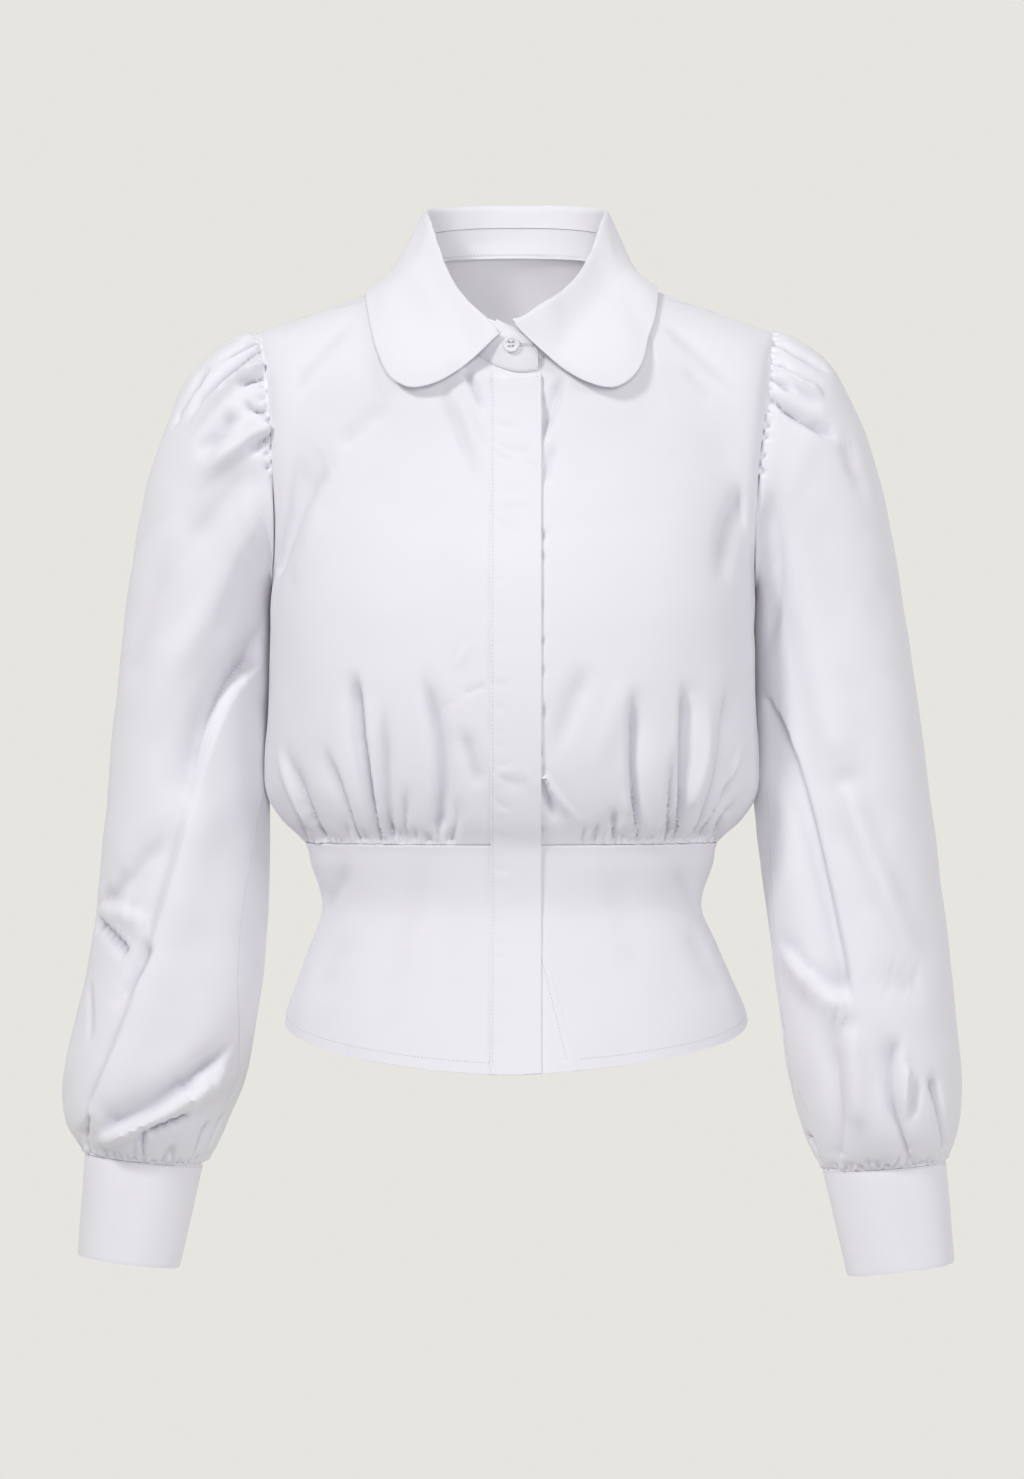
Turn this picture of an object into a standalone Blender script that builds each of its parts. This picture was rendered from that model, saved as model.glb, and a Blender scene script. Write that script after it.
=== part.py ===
# A white round-collar blouse, filled out and hollow, modelled at its real size.
# +Z is up, the front faces -Y, and +X is the wearer's left.
# The origin lies between the shoulders, where the wearer carries the blouse.
# Tables are in millimetres and degrees; the meshes are in metres.

from collections import namedtuple
from math import atan2, cos, degrees, exp, pi, radians, sin, sqrt

import bmesh
import bpy
from mathutils import Vector
from mathutils.bvhtree import BVHTree

MM = 0.001

# ---- driving dimensions, in millimetres ----
CLOTH_WALL = 1.2            # wall of one layer of cloth
BAND_WALL = 1.6             # wall of the placket bands, cuffs and collar
SEAM_GAP = 0.5              # clearance between two pieces at a seam
RIDGE_Y = 0.0               # the shoulder seam lies in this plane
TURN_PER_MM = 15 / 19       # degrees round the neck for each mm from centre front
TIP_HEIGHT = -30.0          # shoulder tip
TIP_REACH = 178.5           # shoulder tip from the centre
SHOULDER_SLOPE = 0.3585     # rise of the shoulder seam for each mm towards the neck
SHOULDER_ROUND = 60.0       # drop over which the shoulder turns into the chest
SLOPE_FADE = 150.0          # drop over which the slope of the shoulder dies out
ARMHOLE_DROP = 175.0        # from shoulder tip to underarm
ARMHOLE_HALF_DEPTH = 52.0   # half the armhole, from front to back
WAIST_DROP = 356.5          # from shoulder tip to waist seam
FRONT_EDGE = 13.0           # the fronts end this far from the centre line
BAND_HALF = 17.0            # half the placket band's width
BAND_TOP = 0.012            # the band starts this share of the way from neck to underarm
UNDER_BAND_HEM = 40.0       # slanting edge of the under band, at the hem
SLANT_START = 2.35          # level on the waist panel where that edge starts to slant
HEM_FRONT = -541.5
HEM_SIDE = -509.0
HEM_BACK = -529.0
HEM_CURVE = 0.8
STAND_LIFT = 2.0            # the outer end of the stand lies this far over the under end
STAND_END = 14.0            # the stand's ends pass the centre line by this
STAND_ROUND = 0.7           # share of the stand's height that its outer end loses
STAND_WALL = 1.4
STAND_BOW = 1.2             # how far the stand bows out between seam and roll
STAND_FRONT_SHARE = 0.86    # the stand fills this share of the height up to the roll in front
STAND_BACK_SHARE = 0.56     # and this share from the side of the neck to the back
SEAM_RISE = 0.7             # clearance of the stand over the neck seam, and the leaf over the stand
COLLAR_TIP_LEFT = 2.0       # collar tips, from the centre line towards the wearer's right
COLLAR_TIP_RIGHT = 12.0
COLLAR_SHIFT = -3.0         # the leaf's outer edge sits this far towards the wearer's right
TIP_SHIFT = -6.5            # and its tips sit this far
LEAF_CLEAR = 3.1            # the leaf's inner side clears the blouse by this
LEAF_BOW = 3.0              # and by this much more half-way down
STAND_COVER = 2.4           # extra room under the left leaf for the stand's outer end
COVER_END = 14.0            # degrees round the neck where that room starts to fade
COVER_FADE = 16.0           # degrees over which it fades
ROLL_OUT = 3.6              # the leaf's outer side at the roll lies this far out
ROLL_DROP = 1.4             # and this far below the roll line
CREST_OUT = 1.6
CREST_RISE = 1.2
FALL_PULL = 0.36            # how far the leaf keeps its direction on leaving the roll
FALL_OUT = 0.30
FALL_DOWN = 0.95
EDGE_PULL = 0.30            # and on reaching its edge
EDGE_UP = 0.62
EDGE_BACK = 0.78
LEAF_STEPS = 6              # points down the leaf, from roll to edge
TIP_FREE = 10.0             # the leaf's edge stands free up to this turn from its tip
TIP_REST = 14.0             # turn over which it then comes down on the blouse
BUTTON_WIDTH = 11.4
BUTTON_THICK = 2.4
BUTTON_HOLE = 1.6
HOLE_SPACING = 1.35         # each hole from the button's middle, both ways
NECK_BUTTON_AT = 3.5        # neck button from the centre, towards the wearer's right
NECK_BUTTON_LIFT = 0.6      # its back from the stand
CUFF_BUTTON_LIFT = 0.45
CUFF_OVERLAP = 30.0         # degrees round the cuff
CUFF_LIFT = 2.1

# ---- how finely the cloth is cut into facets ----
NECK_COLUMNS = 6
SHOULDER_COLUMNS = 5
COLUMNS = NECK_COLUMNS + SHOULDER_COLUMNS
ARMHOLE_ROWS = 9
LOWER_ROWS = 6
WAIST_ROWS = 5
COLLAR_STATIONS = 36
CUFF_COLUMNS = 24

BodyRing = namedtuple("BodyRing", "drop half_width centre front back square")
BODY_RINGS = [
    BodyRing(0, 178.5, 0.0, 72, 82, 2.1),
    BodyRing(30, 177.5, 0.0, 76, 88, 2.2),
    BodyRing(80, 176.0, -0.5, 87, 98, 2.3),
    BodyRing(130, 174.5, -1.5, 103, 103, 2.35),
    BodyRing(175, 172.5, -2.6, 116, 104, 2.4),
    BodyRing(225, 170.8, -3.0, 122, 102, 2.4),
    BodyRing(265, 171.3, -3.0, 122, 99, 2.4),
    BodyRing(300, 173.0, -2.6, 118, 98, 2.35),
    BodyRing(322, 171.5, -2.6, 112, 97, 2.3),
    BodyRing(340, 161.0, -3.0, 104, 94, 2.25),
    BodyRing(356.5, 144.5, -3.5, 94, 88, 2.2),
    BodyRing(372, 140.5, -2.9, 90, 85, 2.2),
    BodyRing(392, 133.6, -2.8, 87, 83, 2.2),
    BodyRing(405, 133.0, -2.6, 87, 84, 2.2),
    BodyRing(425, 141.0, -1.8, 91, 89, 2.2),
    BodyRing(452, 152.0, -0.7, 99, 98, 2.2),
    BodyRing(474, 160.3, 0.0, 106, 106, 2.2),
    BodyRing(512, 166.0, 0.0, 118, 117, 2.2),
]

ArmholeLine = namedtuple("ArmholeLine", "drop reach centre")
ARMHOLE_LINE = [
    ArmholeLine(0, 178.5, 0.0),
    ArmholeLine(25, 174.8, 0.8),
    ArmholeLine(60, 171.5, 0.8),
    ArmholeLine(90, 169.0, 0.0),
    ArmholeLine(125, 167.0, -0.5),
    ArmholeLine(155, 167.0, -1.0),
    ArmholeLine(175, 168.8, -2.0),
]

# Half of the neck seam and half of the collar's roll, from centre front (0) to centre back (180).
NeckPoint = namedtuple("NeckPoint", "turn side forward height")
NECK_SEAM = [
    NeckPoint(0, 0, -76.5, -57),
    NeckPoint(15, 19, -72.5, -52.5),
    NeckPoint(30, 36, -62, -41.5),
    NeckPoint(45, 49.5, -47, -27.5),
    NeckPoint(60, 59.5, -30, -13),
    NeckPoint(75, 66, -14, 0),
    NeckPoint(90, 68.5, 0, 9.4),
    NeckPoint(110, 66.5, 21, 19),
    NeckPoint(135, 52, 43, 26),
    NeckPoint(160, 27, 58, 30),
    NeckPoint(180, 0, 62, 31),
]
COLLAR_ROLL = [
    NeckPoint(0, 0, -79, -30),
    NeckPoint(15, 18, -73.5, -20.5),
    NeckPoint(30, 31.5, -62, -9.5),
    NeckPoint(45, 43, -46, 6),
    NeckPoint(60, 51.5, -27, 26),
    NeckPoint(75, 58, -9, 45),
    NeckPoint(90, 61, 7, 54),
    NeckPoint(110, 60.5, 26, 58.5),
    NeckPoint(135, 47, 46, 62),
    NeckPoint(160, 24, 58, 64.5),
    NeckPoint(180, 0, 61.5, 65),
]
# The leaf's outer edge before it is laid on the blouse, by the same turn.
COLLAR_EDGE = [
    NeckPoint(0, 4, -85, -36),
    NeckPoint(8, 17, -85, -45),
    NeckPoint(15, 29, -86, -56),
    NeckPoint(24, 43, -86, -67.5),
    NeckPoint(33, 56.5, -87, -75.5),
    NeckPoint(42, 70, -85, -78),
    NeckPoint(51, 81.5, -79, -73),
    NeckPoint(60, 90, -70, -62),
    NeckPoint(69, 95.5, -60, -48),
    NeckPoint(78, 99, -45, -32),
    NeckPoint(87, 101.5, -27, -17),
    NeckPoint(96, 102.5, -8, -6),
    NeckPoint(107, 101.5, 16, -5),
    NeckPoint(120, 95, 40, -4),
    NeckPoint(135, 79, 62, -1),
    NeckPoint(150, 57, 76, 2),
    NeckPoint(165, 29, 84, 4),
    NeckPoint(180, 0, 86, 4.5),
]

# Rings of a sleeve, from armhole to cuff, as seen from the front: outer and inner end of
# each ring, how far it reaches forward and back, and where its middle lies in depth.
SleeveRing = namedtuple("SleeveRing", "outer outer_z inner inner_z forward back middle")
SleeveKey = namedtuple("SleeveKey", ("place",) + SleeveRing._fields)
RIGHT_SLEEVE = [
    SleeveRing(178.5, -30.0, 168.8, -205.0, 52, 52, 0),
    SleeveRing(190.5, -29.5, 172.5, -207.5, 57, 57, 0),
    SleeveRing(206.5, -38.5, 175.0, -209.5, 60, 61, 1),
    SleeveRing(219.5, -50.0, 176.6, -212.0, 61, 62, 1),
    SleeveRing(233.0, -67.0, 177.6, -215.0, 60, 62, 2),
    SleeveRing(244.5, -94.0, 178.3, -219.0, 58, 61, 2),
    SleeveRing(255.0, -124.0, 178.6, -225.0, 56, 60, 3),
    SleeveRing(264.0, -163.0, 178.8, -233.0, 55, 59, 4),
    SleeveRing(271.0, -208.0, 179.0, -246.0, 54, 59, 5),
    SleeveRing(276.8, -253.0, 179.2, -268.0, 55, 59, 6),
    SleeveRing(281.8, -300.0, 179.3, -303.0, 56, 59, 6),
    SleeveRing(286.6, -355.0, 176.5, -352.0, 57, 59, 5),
    SleeveRing(291.0, -405.0, 172.5, -400.0, 58, 59, 3),
    SleeveRing(295.5, -452.0, 174.0, -450.0, 60, 59, 0),
    SleeveRing(306.5, -503.0, 180.0, -500.0, 62, 60, -4),
    SleeveRing(316.0, -548.0, 187.5, -546.0, 62, 60, -8),
    SleeveRing(314.5, -577.0, 198.0, -576.0, 56, 54, -11),
    SleeveRing(307.0, -593.0, 208.5, -598.0, 44, 42, -13),
    SleeveRing(300.3, -602.5, 218.4, -611.0, 31, 31, -14),
]
LEFT_SLEEVE = [
    SleeveRing(178.5, -30.0, 168.8, -205.0, 52, 52, 0),
    SleeveRing(190.0, -31.0, 170.6, -207.5, 57, 57, 0),
    SleeveRing(207.5, -40.5, 171.9, -209.5, 60, 61, 1),
    SleeveRing(221.5, -54.0, 172.7, -212.0, 61, 62, 1),
    SleeveRing(233.5, -76.0, 173.1, -215.0, 60, 62, 2),
    SleeveRing(245.5, -104.0, 173.4, -219.0, 58, 61, 2),
    SleeveRing(257.5, -144.0, 173.6, -226.0, 56, 60, 3),
    SleeveRing(264.5, -178.0, 173.8, -235.0, 55, 59, 4),
    SleeveRing(271.5, -222.0, 174.0, -249.0, 54, 59, 5),
    SleeveRing(277.0, -257.0, 174.2, -270.0, 55, 59, 6),
    SleeveRing(283.5, -302.0, 174.4, -304.0, 56, 59, 6),
    SleeveRing(290.5, -356.0, 170.5, -354.0, 57, 59, 5),
    SleeveRing(296.5, -408.0, 172.0, -406.0, 58, 59, 3),
    SleeveRing(302.5, -456.0, 178.0, -455.0, 60, 59, 0),
    SleeveRing(307.5, -505.0, 184.0, -505.0, 62, 60, -4),
    SleeveRing(311.5, -551.0, 191.0, -553.0, 61, 59, -8),
    SleeveRing(309.5, -580.0, 199.5, -584.0, 55, 53, -11),
    SleeveRing(304.5, -598.0, 207.5, -604.0, 43, 42, -13),
    SleeveRing(299.6, -608.3, 213.8, -614.5, 31, 31, -14),
]
SLEEVE_GAP = 0.55           # clearance between armhole and sleeve
SLEEVE_BLEND = 5            # rings over which the armhole's own curve fades into the rings

# The long soft fold down each sleeve: where it starts and ends, in rings and degrees round.
SleeveFold = namedtuple("SleeveFold", "ring_from swing_from ring_to swing_to depth spread")
RIGHT_FOLDS = [
    SleeveFold(9.0, 145, 16.0, 48, 5.0, 17),
    SleeveFold(10.5, 215, 16.0, 262, 4.5, 17),
]
LEFT_FOLDS = [
    SleeveFold(8.8, 165, 15.0, 92, 5.0, 17),
    SleeveFold(10.0, 222, 16.0, 268, 4.5, 17),
]

CuffEnds = namedtuple("CuffEnds", "outer outer_z inner inner_z forward back middle")
RIGHT_CUFF = [
    CuffEnds(300.3, -603.0, 218.4, -611.5, 31, 31, -14),
    CuffEnds(305.5, -672.5, 234.5, -682.0, 30, 30, -18),
]
LEFT_CUFF = [
    CuffEnds(299.6, -608.8, 213.8, -615.0, 31, 31, -14),
    CuffEnds(305.0, -678.0, 230.5, -687.5, 30, 30, -18),
]
CUFF_BUTTON_SHARES = (0.28, 0.74)   # places of the two buttons down a cuff

# Largest folds, in body degrees from centre front: trough where the gathers run down to
# the waist seam.
Gather = namedtuple("Gather", "turn spread depth start")
GATHERS = [
    Gather(-62, 7, 4.5, 255),
    Gather(-45, 7, 4.0, 265),
    Gather(-28, 6, 3.0, 280),
    Gather(38, 7, 3.5, 275),
    Gather(55, 7, 4.5, 255),
    Gather(-150, 7, 3.5, 265),
    Gather(-122, 7, 4.0, 260),
    Gather(122, 7, 4.0, 262),
    Gather(152, 7, 3.5, 268),
]

COLORS = {
    "cloth": (0.875, 0.868, 0.905),
    "button": (0.80, 0.79, 0.83),
}


# ---- reading tables ----
def smooth(value):
    t = min(max(value, 0.0), 1.0)
    return t * t * (3 - 2 * t)


def lerp(a, b, share):
    return a + (b - a) * share


def along(rows, key):
    """One row between the rows of a table, on a smooth curve through them."""
    last = len(rows) - 1
    key = min(max(key, rows[0][0]), rows[last][0])
    i = 0
    while i < last - 1 and rows[i + 1][0] < key:
        i += 1
    start = rows[i]
    end = rows[i + 1]
    span = end[0] - start[0]
    t = (key - start[0]) / span
    before = rows[max(i - 1, 0)]
    after = rows[min(i + 2, last)]
    values = []
    for c in range(len(start)):
        slope_start = (end[c] - before[c]) / (end[0] - before[0]) * span
        slope_end = (after[c] - start[c]) / (after[0] - start[0]) * span
        h1 = 2 * t ** 3 - 3 * t ** 2 + 1
        h2 = t ** 3 - 2 * t ** 2 + t
        h3 = -2 * t ** 3 + 3 * t ** 2
        h4 = t ** 3 - t ** 2
        values.append(h1 * start[c] + h2 * slope_start + h3 * end[c] + h4 * slope_end)
    return type(start)(*values)


# ---- the body of the blouse ----
def gather_depth(body_turn, drop):
    """How far the gathers over the waist seam press the cloth in."""
    depth = 0.0
    for fold in GATHERS:
        rise = smooth((drop - fold.start) / (WAIST_DROP - 20 - fold.start))
        close = smooth((WAIST_DROP - drop) / 14)
        off = (body_turn - fold.turn) / fold.spread
        depth += fold.depth * rise * close * exp(-off * off)
    return depth


def body_point(side, face, turn, drop):
    """A point of the body. turn runs from the centre (0) to the side seam (90)."""
    ring = along(BODY_RINGS, drop)
    s = sin(radians(turn))
    c = max(cos(radians(turn)), 0.0)
    reach = (abs(s) ** ring.square + c ** ring.square) ** (-1 / ring.square)
    across = s * reach
    rounding = sqrt(1 - (1 - min(max(drop, 0.0) / SHOULDER_ROUND, 1)) ** 2)
    body_turn = side * (turn if face > 0 else 180 - turn)
    depth = (ring.front if face > 0 else ring.back) * rounding
    depth -= gather_depth(body_turn, drop)
    x = ring.centre + side * ring.half_width * across
    y = RIDGE_Y - face * (depth * c * reach + SEAM_GAP / 2)
    slope = SHOULDER_SLOPE * (1 - smooth(drop / SLOPE_FADE))
    z = TIP_HEIGHT - drop + slope * ring.half_width * (1 - abs(across))
    return Vector((x, y, z))


def turn_of(x, side, drop):
    """The turn at which the body passes a given distance from the centre line."""
    ring = along(BODY_RINGS, drop)
    share = min(max(side * (x - ring.centre) / ring.half_width, -1.0), 1.0)
    rest = max(1 - abs(share) ** ring.square, 0.0) ** (1 / ring.square)
    return degrees(atan2(share, rest))


def armhole_point(side, face, level):
    """A point of the armhole seam, from shoulder tip (0) to underarm (1)."""
    drop = ARMHOLE_DROP * (1 - cos(pi * level)) / 2
    line = along(ARMHOLE_LINE, drop)
    y = RIDGE_Y - face * (ARMHOLE_HALF_DEPTH * sin(pi * level) + SEAM_GAP / 2)
    return Vector((line.centre + side * line.reach, y, TIP_HEIGHT - drop))


def neck_point(side, face, turn):
    """A point of the neck seam. turn runs from centre front (0) to centre back (180)."""
    row = along(NECK_SEAM, turn)
    return Vector((side * row.side, row.forward - face * SEAM_GAP / 2, row.height))


def neck_turn(face, share, edge):
    """The turn round the neck at a share of the way from the centre to the shoulder."""
    if face < 0:
        return 180 - 90 * share
    start = TURN_PER_MM * edge
    return start + (90 - start) * share


def top_point(side, face, across, edge):
    """The neck and shoulder seam of one half, from the centre (0) to the tip (1)."""
    neck_share = NECK_COLUMNS / COLUMNS
    if across <= neck_share:
        point = neck_point(side, face, neck_turn(face, across / neck_share, side * edge))
        if across == 0:
            point.x = edge
        return point
    share = (across - neck_share) / (1 - neck_share)
    neck_side = along(NECK_SEAM, 90)
    x = lerp(neck_side.side, TIP_REACH, share)
    z = TIP_HEIGHT + SHOULDER_SLOPE * (TIP_REACH - x)
    return Vector((side * x, RIDGE_Y - face * SEAM_GAP / 2, z))


def drop_at(point, side, face, turn):
    """How far below the ridge the body has the depth of a point of the neck seam."""
    ring = along(BODY_RINGS, 20)
    c = max(cos(radians(turn)), 0.001)
    s = sin(radians(turn))
    reach = (abs(s) ** ring.square + c ** ring.square) ** (-1 / ring.square)
    full = (ring.front if face > 0 else ring.back) * c * reach
    depth = -face * (point.y - RIDGE_Y) - SEAM_GAP / 2
    share = min(max(depth / full, 0.0), 1.0)
    return SHOULDER_ROUND * (1 - sqrt(1 - share * share))


def bodice_point(side, face, across, level, edge=0.0):
    """A point of a front or back: level 0 neck and shoulder, 1 underarm, 2 waist seam."""
    if level >= 1:
        drop = lerp(ARMHOLE_DROP, WAIST_DROP, level - 1)
        start = turn_of(edge, side, drop)
        turn = start + (90 - start) * across
        point = body_point(side, face, turn, drop)
        underarm = armhole_point(side, face, 1) - body_point(side, face, 90, ARMHOLE_DROP)
        return point + underarm * across ** 4 * (1 - smooth(level - 1)) ** 2
    top = top_point(side, face, across, edge)
    top_turn = turn_of(top.x, side, 0)
    top_drop = drop_at(top, side, face, top_turn)
    cosine = (1 - cos(pi * level)) / 2
    eased = level ** lerp(1.0, 1.7, smooth(across / 0.4))
    drop = lerp(top_drop, ARMHOLE_DROP, lerp(eased, cosine, across ** 3))
    low_start = turn_of(edge, side, ARMHOLE_DROP)
    low_turn = low_start + (90 - low_start) * across
    turn = lerp(top_turn, low_turn, level)
    edge_turn = turn_of(edge, side, drop)
    top_edge_turn = turn_of(edge, side, 0)
    turn += (edge_turn - lerp(top_edge_turn, low_start, level)) * (1 - across) ** 3
    arm = armhole_point(side, face, level)
    arm_drop = ARMHOLE_DROP * cosine
    arm_turn = turn_of(arm.x, side, arm_drop)
    turn += (arm_turn - 90) * across ** 3
    point = body_point(side, face, turn, drop)
    point += (top - body_point(side, face, top_turn, top_drop)) * (1 - level) ** 2
    point += (arm - body_point(side, face, arm_turn, arm_drop)) * across ** 5
    return point


def hem_height(side, face, turn):
    middle = HEM_FRONT if face > 0 else HEM_BACK
    rise = (1 - cos(radians(turn))) ** HEM_CURVE
    return lerp(middle, HEM_SIDE, rise)


def waist_point(side, face, across, level, edge=0.0):
    """A point of the waist panel: level 2 at the waist seam, 3 at the hem."""
    start = turn_of(edge, side, WAIST_DROP)
    turn = start + (90 - start) * across
    low = TIP_HEIGHT - hem_height(side, face, turn)
    drop = lerp(WAIST_DROP + SEAM_GAP, low, level - 2)
    edge_turn = turn_of(edge, side, drop)
    turn += (edge_turn - start) * (1 - across) ** 2
    return body_point(side, face, turn, drop)


def centre_point(side, across_x, level):
    """A point of the front at a distance from the centre line, from neck to hem."""
    if level <= 2:
        return bodice_point(side, 1, 0.0, level, across_x)
    return waist_point(side, 1, 0.0, level, across_x)


# ---- the neck ----
def around_neck(rows, turn):
    """A point of a neck table for a whole turn: 0 front, 90 wearer's left, 270 right."""
    turn = turn % 360
    side = 1
    if turn > 180:
        turn = 360 - turn
        side = -1
    row = along(rows, turn)
    return Vector((side * row.side, row.forward, row.height))


def outward(turn):
    """The level direction away from the neck's middle."""
    here = around_neck(NECK_SEAM, turn)
    ahead = around_neck(NECK_SEAM, turn + 2) - around_neck(NECK_SEAM, turn - 2)
    ahead.z = 0
    side = Vector((-ahead.y, ahead.x, 0)).normalized()
    if side.dot(Vector((here.x, here.y, 0))) < 0:
        side = -side
    return side


def stand_share(turn):
    """How much of the way from neck seam to roll the stand fills."""
    from_front = min(turn % 360, 360 - turn % 360)
    return lerp(STAND_FRONT_SHARE, STAND_BACK_SHARE, smooth(from_front / 110))


def stand_point(turn, share):
    """A point of the stand's outer face, from the neck seam (0) to its top edge (1)."""
    low = around_neck(NECK_SEAM, turn)
    roll = around_neck(COLLAR_ROLL, turn)
    up = (roll - low).normalized()
    low = low + up * SEAM_RISE
    end_round = 1 - STAND_ROUND * smooth((turn - 359) / 12)
    high = lerp(low, roll, stand_share(turn) * end_round)
    bow = outward(turn) * STAND_BOW * sin(pi * share)
    return lerp(low, high, share) + bow + outward(turn) * stand_lift(turn)


def stand_lift(turn):
    """The wearer's right end of the stand and collar lies over the left end."""
    return STAND_LIFT * smooth((turn - 300) / 50)


def leaf_edge(side, leaf_turn):
    """The leaf's outer edge before it is laid down; leaf_turn is 0 at the collar's tip."""
    row = along(COLLAR_EDGE, leaf_turn)
    shift = lerp(TIP_SHIFT, COLLAR_SHIFT, smooth(leaf_turn / 10))
    return Vector((side * row.side + shift, row.forward, row.height))


def leaf_shape(turn, tip_turn, ground):
    """The collar's section at one turn, from the stand, over the roll, to the edge."""
    side = 1 if turn <= 180 else -1
    out = outward(turn)
    lift = out * stand_lift(turn)
    roll = around_neck(COLLAR_ROLL, turn) + lift
    low = around_neck(NECK_SEAM, turn) + lift
    up = (roll - low).normalized()
    top = stand_point(turn, 1)
    leaf_turn = 180 * (turn - tip_turn) / (180 - tip_turn)
    edge = leaf_edge(side, leaf_turn)
    cover = STAND_COVER * (1 - smooth((turn - COVER_END) / COVER_FADE)) if side > 0 else 0.0
    inside = out * -0.5
    rise_low = top + up * SEAM_RISE + inside
    rise_high = roll - up * 2.0 + inside
    over = roll + out * (ROLL_OUT + cover) - up * ROLL_DROP
    length = (edge - over).length
    fall_pull = (out * FALL_OUT - up * FALL_DOWN).normalized() * length * FALL_PULL
    spread = Vector((edge.x - roll.x, edge.y - roll.y, 0)).normalized()
    edge_pull = (Vector((0, 0, EDGE_UP)) - spread * EDGE_BACK) * length * EDGE_PULL
    crest = roll + up * CREST_RISE + out * (CREST_OUT + cover / 2)
    points = [rise_low, lerp(rise_low, rise_high, 0.5), rise_high, crest]
    for k in range(LEAF_STEPS + 1):
        t = k / LEAF_STEPS
        a = over * (1 - t) ** 3
        b = (over + fall_pull) * 3 * t * (1 - t) ** 2
        c = (edge + edge_pull) * 3 * t * t * (1 - t)
        point = a + b + c + edge * t ** 3
        rest = smooth((leaf_turn - TIP_FREE) / TIP_REST) if k == LEAF_STEPS else 0.0
        clearance = BAND_WALL + LEAF_CLEAR + LEAF_BOW * sin(pi * t)
        points.append(push_clear(point, ground, clearance, rest))
    return points


def push_clear(point, ground, clearance, rest):
    """Keep a point of the leaf off the blouse, or with rest at 1 lay it down there."""
    for _ in range(3):
        near, normal, _, _ = ground.find_nearest(point)
        height = (point - near).dot(normal)
        if height < clearance:
            point = point + normal * (clearance - height)
    return lerp(point, near + normal * clearance, rest)


# ---- the sleeves ----
def ring_point(ring, side, swing):
    """A point of a sleeve or cuff ring: swing 0 outer, 90 front, 180 inner, 270 back."""
    c = cos(radians(swing))
    s = sin(radians(swing))
    mid_x = (ring.outer + ring.inner) / 2
    mid_z = (ring.outer_z + ring.inner_z) / 2
    x = mid_x + (ring.outer - ring.inner) / 2 * c
    z = mid_z + (ring.outer_z - ring.inner_z) / 2 * c
    y = ring.middle - s * (ring.forward if s > 0 else ring.back)
    return Vector((side * x, y, z))


def fold_depth(folds, swing, place):
    """How far the long folds press the sleeve in."""
    depth = 0.0
    for fold in folds:
        share = (place - fold.ring_from) / (fold.ring_to - fold.ring_from)
        if 0 < share < 1:
            off = (swing - lerp(fold.swing_from, fold.swing_to, share)) / fold.spread
            depth += fold.depth * smooth(share * 4) * smooth((1 - share) * 4) * exp(-off * off)
    return depth


def sleeve_point(side, rings, folds, swing, place):
    """A point of a sleeve: place counts the rings from the armhole (0) to the cuff."""
    keyed = [SleeveKey(i, *ring) for i, ring in enumerate(rings)]
    ring = SleeveRing(*along(keyed, place)[1:])
    point = ring_point(ring, side, swing)
    level = (swing if swing <= 180 else 360 - swing) / 180
    face = 1 if swing <= 180 else -1
    seam = armhole_point(side, face, level)
    seam.y += face * SEAM_GAP / 2
    seam.x += side * SLEEVE_GAP
    first = ring_point(rings[0], side, swing)
    fade = (1 - smooth(place / SLEEVE_BLEND)) ** 1.5
    middle = (ring_point(ring, side, 0) + ring_point(ring, side, 180)) / 2
    inward = (middle - point).normalized() * fold_depth(folds, swing, place)
    return point + (seam - first) * fade + inward


def cuff_point(side, ends, swing, share, lift):
    """A point of a cuff: swing as on a sleeve, share from its top (0) to its edge (1)."""
    top = ring_point(ends[0], side, swing)
    low = ring_point(ends[1], side, swing)
    point = lerp(top, low, share)
    middle = lerp(ring_point(ends[0], side, 0) + ring_point(ends[0], side, 180),
                  ring_point(ends[1], side, 0) + ring_point(ends[1], side, 180), share) / 2
    out = point - middle
    out.z = 0
    return point + out.normalized() * lift


# ---- meshes ----
def cloth_material(name, color, roughness):
    material = bpy.data.materials.new(name)
    material.use_nodes = True
    shader = material.node_tree.nodes["Principled BSDF"]
    shader.inputs["Base Color"].default_value = (*color, 1)
    shader.inputs["Roughness"].default_value = roughness
    shader.inputs["Metallic"].default_value = 0.0
    return material


def grid_faces(rows, closed):
    count = len(rows[0])
    faces = []
    for r in range(len(rows) - 1):
        for c in range(count if closed else count - 1):
            n = (c + 1) % count
            faces.append((r * count + c, r * count + n, (r + 1) * count + n, (r + 1) * count + c))
    return faces


def new_object(name, points, faces, color, roughness):
    mesh = bpy.data.meshes.new(name)
    mesh.from_pydata([p * MM for p in points], [], faces)
    mesh.update()
    item = bpy.data.objects.new(name, mesh)
    bpy.context.scene.collection.objects.link(item)
    mesh.materials.append(cloth_material(name, COLORS[color], roughness))
    return item


def grid_normals(rows, closed):
    """The direction across each row and down the columns, crossed, at every point."""
    last_row = len(rows) - 1
    count = len(rows[0])
    normals = []
    for r, row in enumerate(rows):
        line = []
        for c in range(count):
            if closed:
                right = row[(c + 1) % count] - row[c - 1]
            else:
                right = row[min(c + 1, count - 1)] - row[max(c - 1, 0)]
            down = rows[min(r + 1, last_row)][c] - rows[max(r - 1, 0)][c]
            line.append(right.cross(down).normalized())
        normals.append(line)
    return normals


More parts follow.
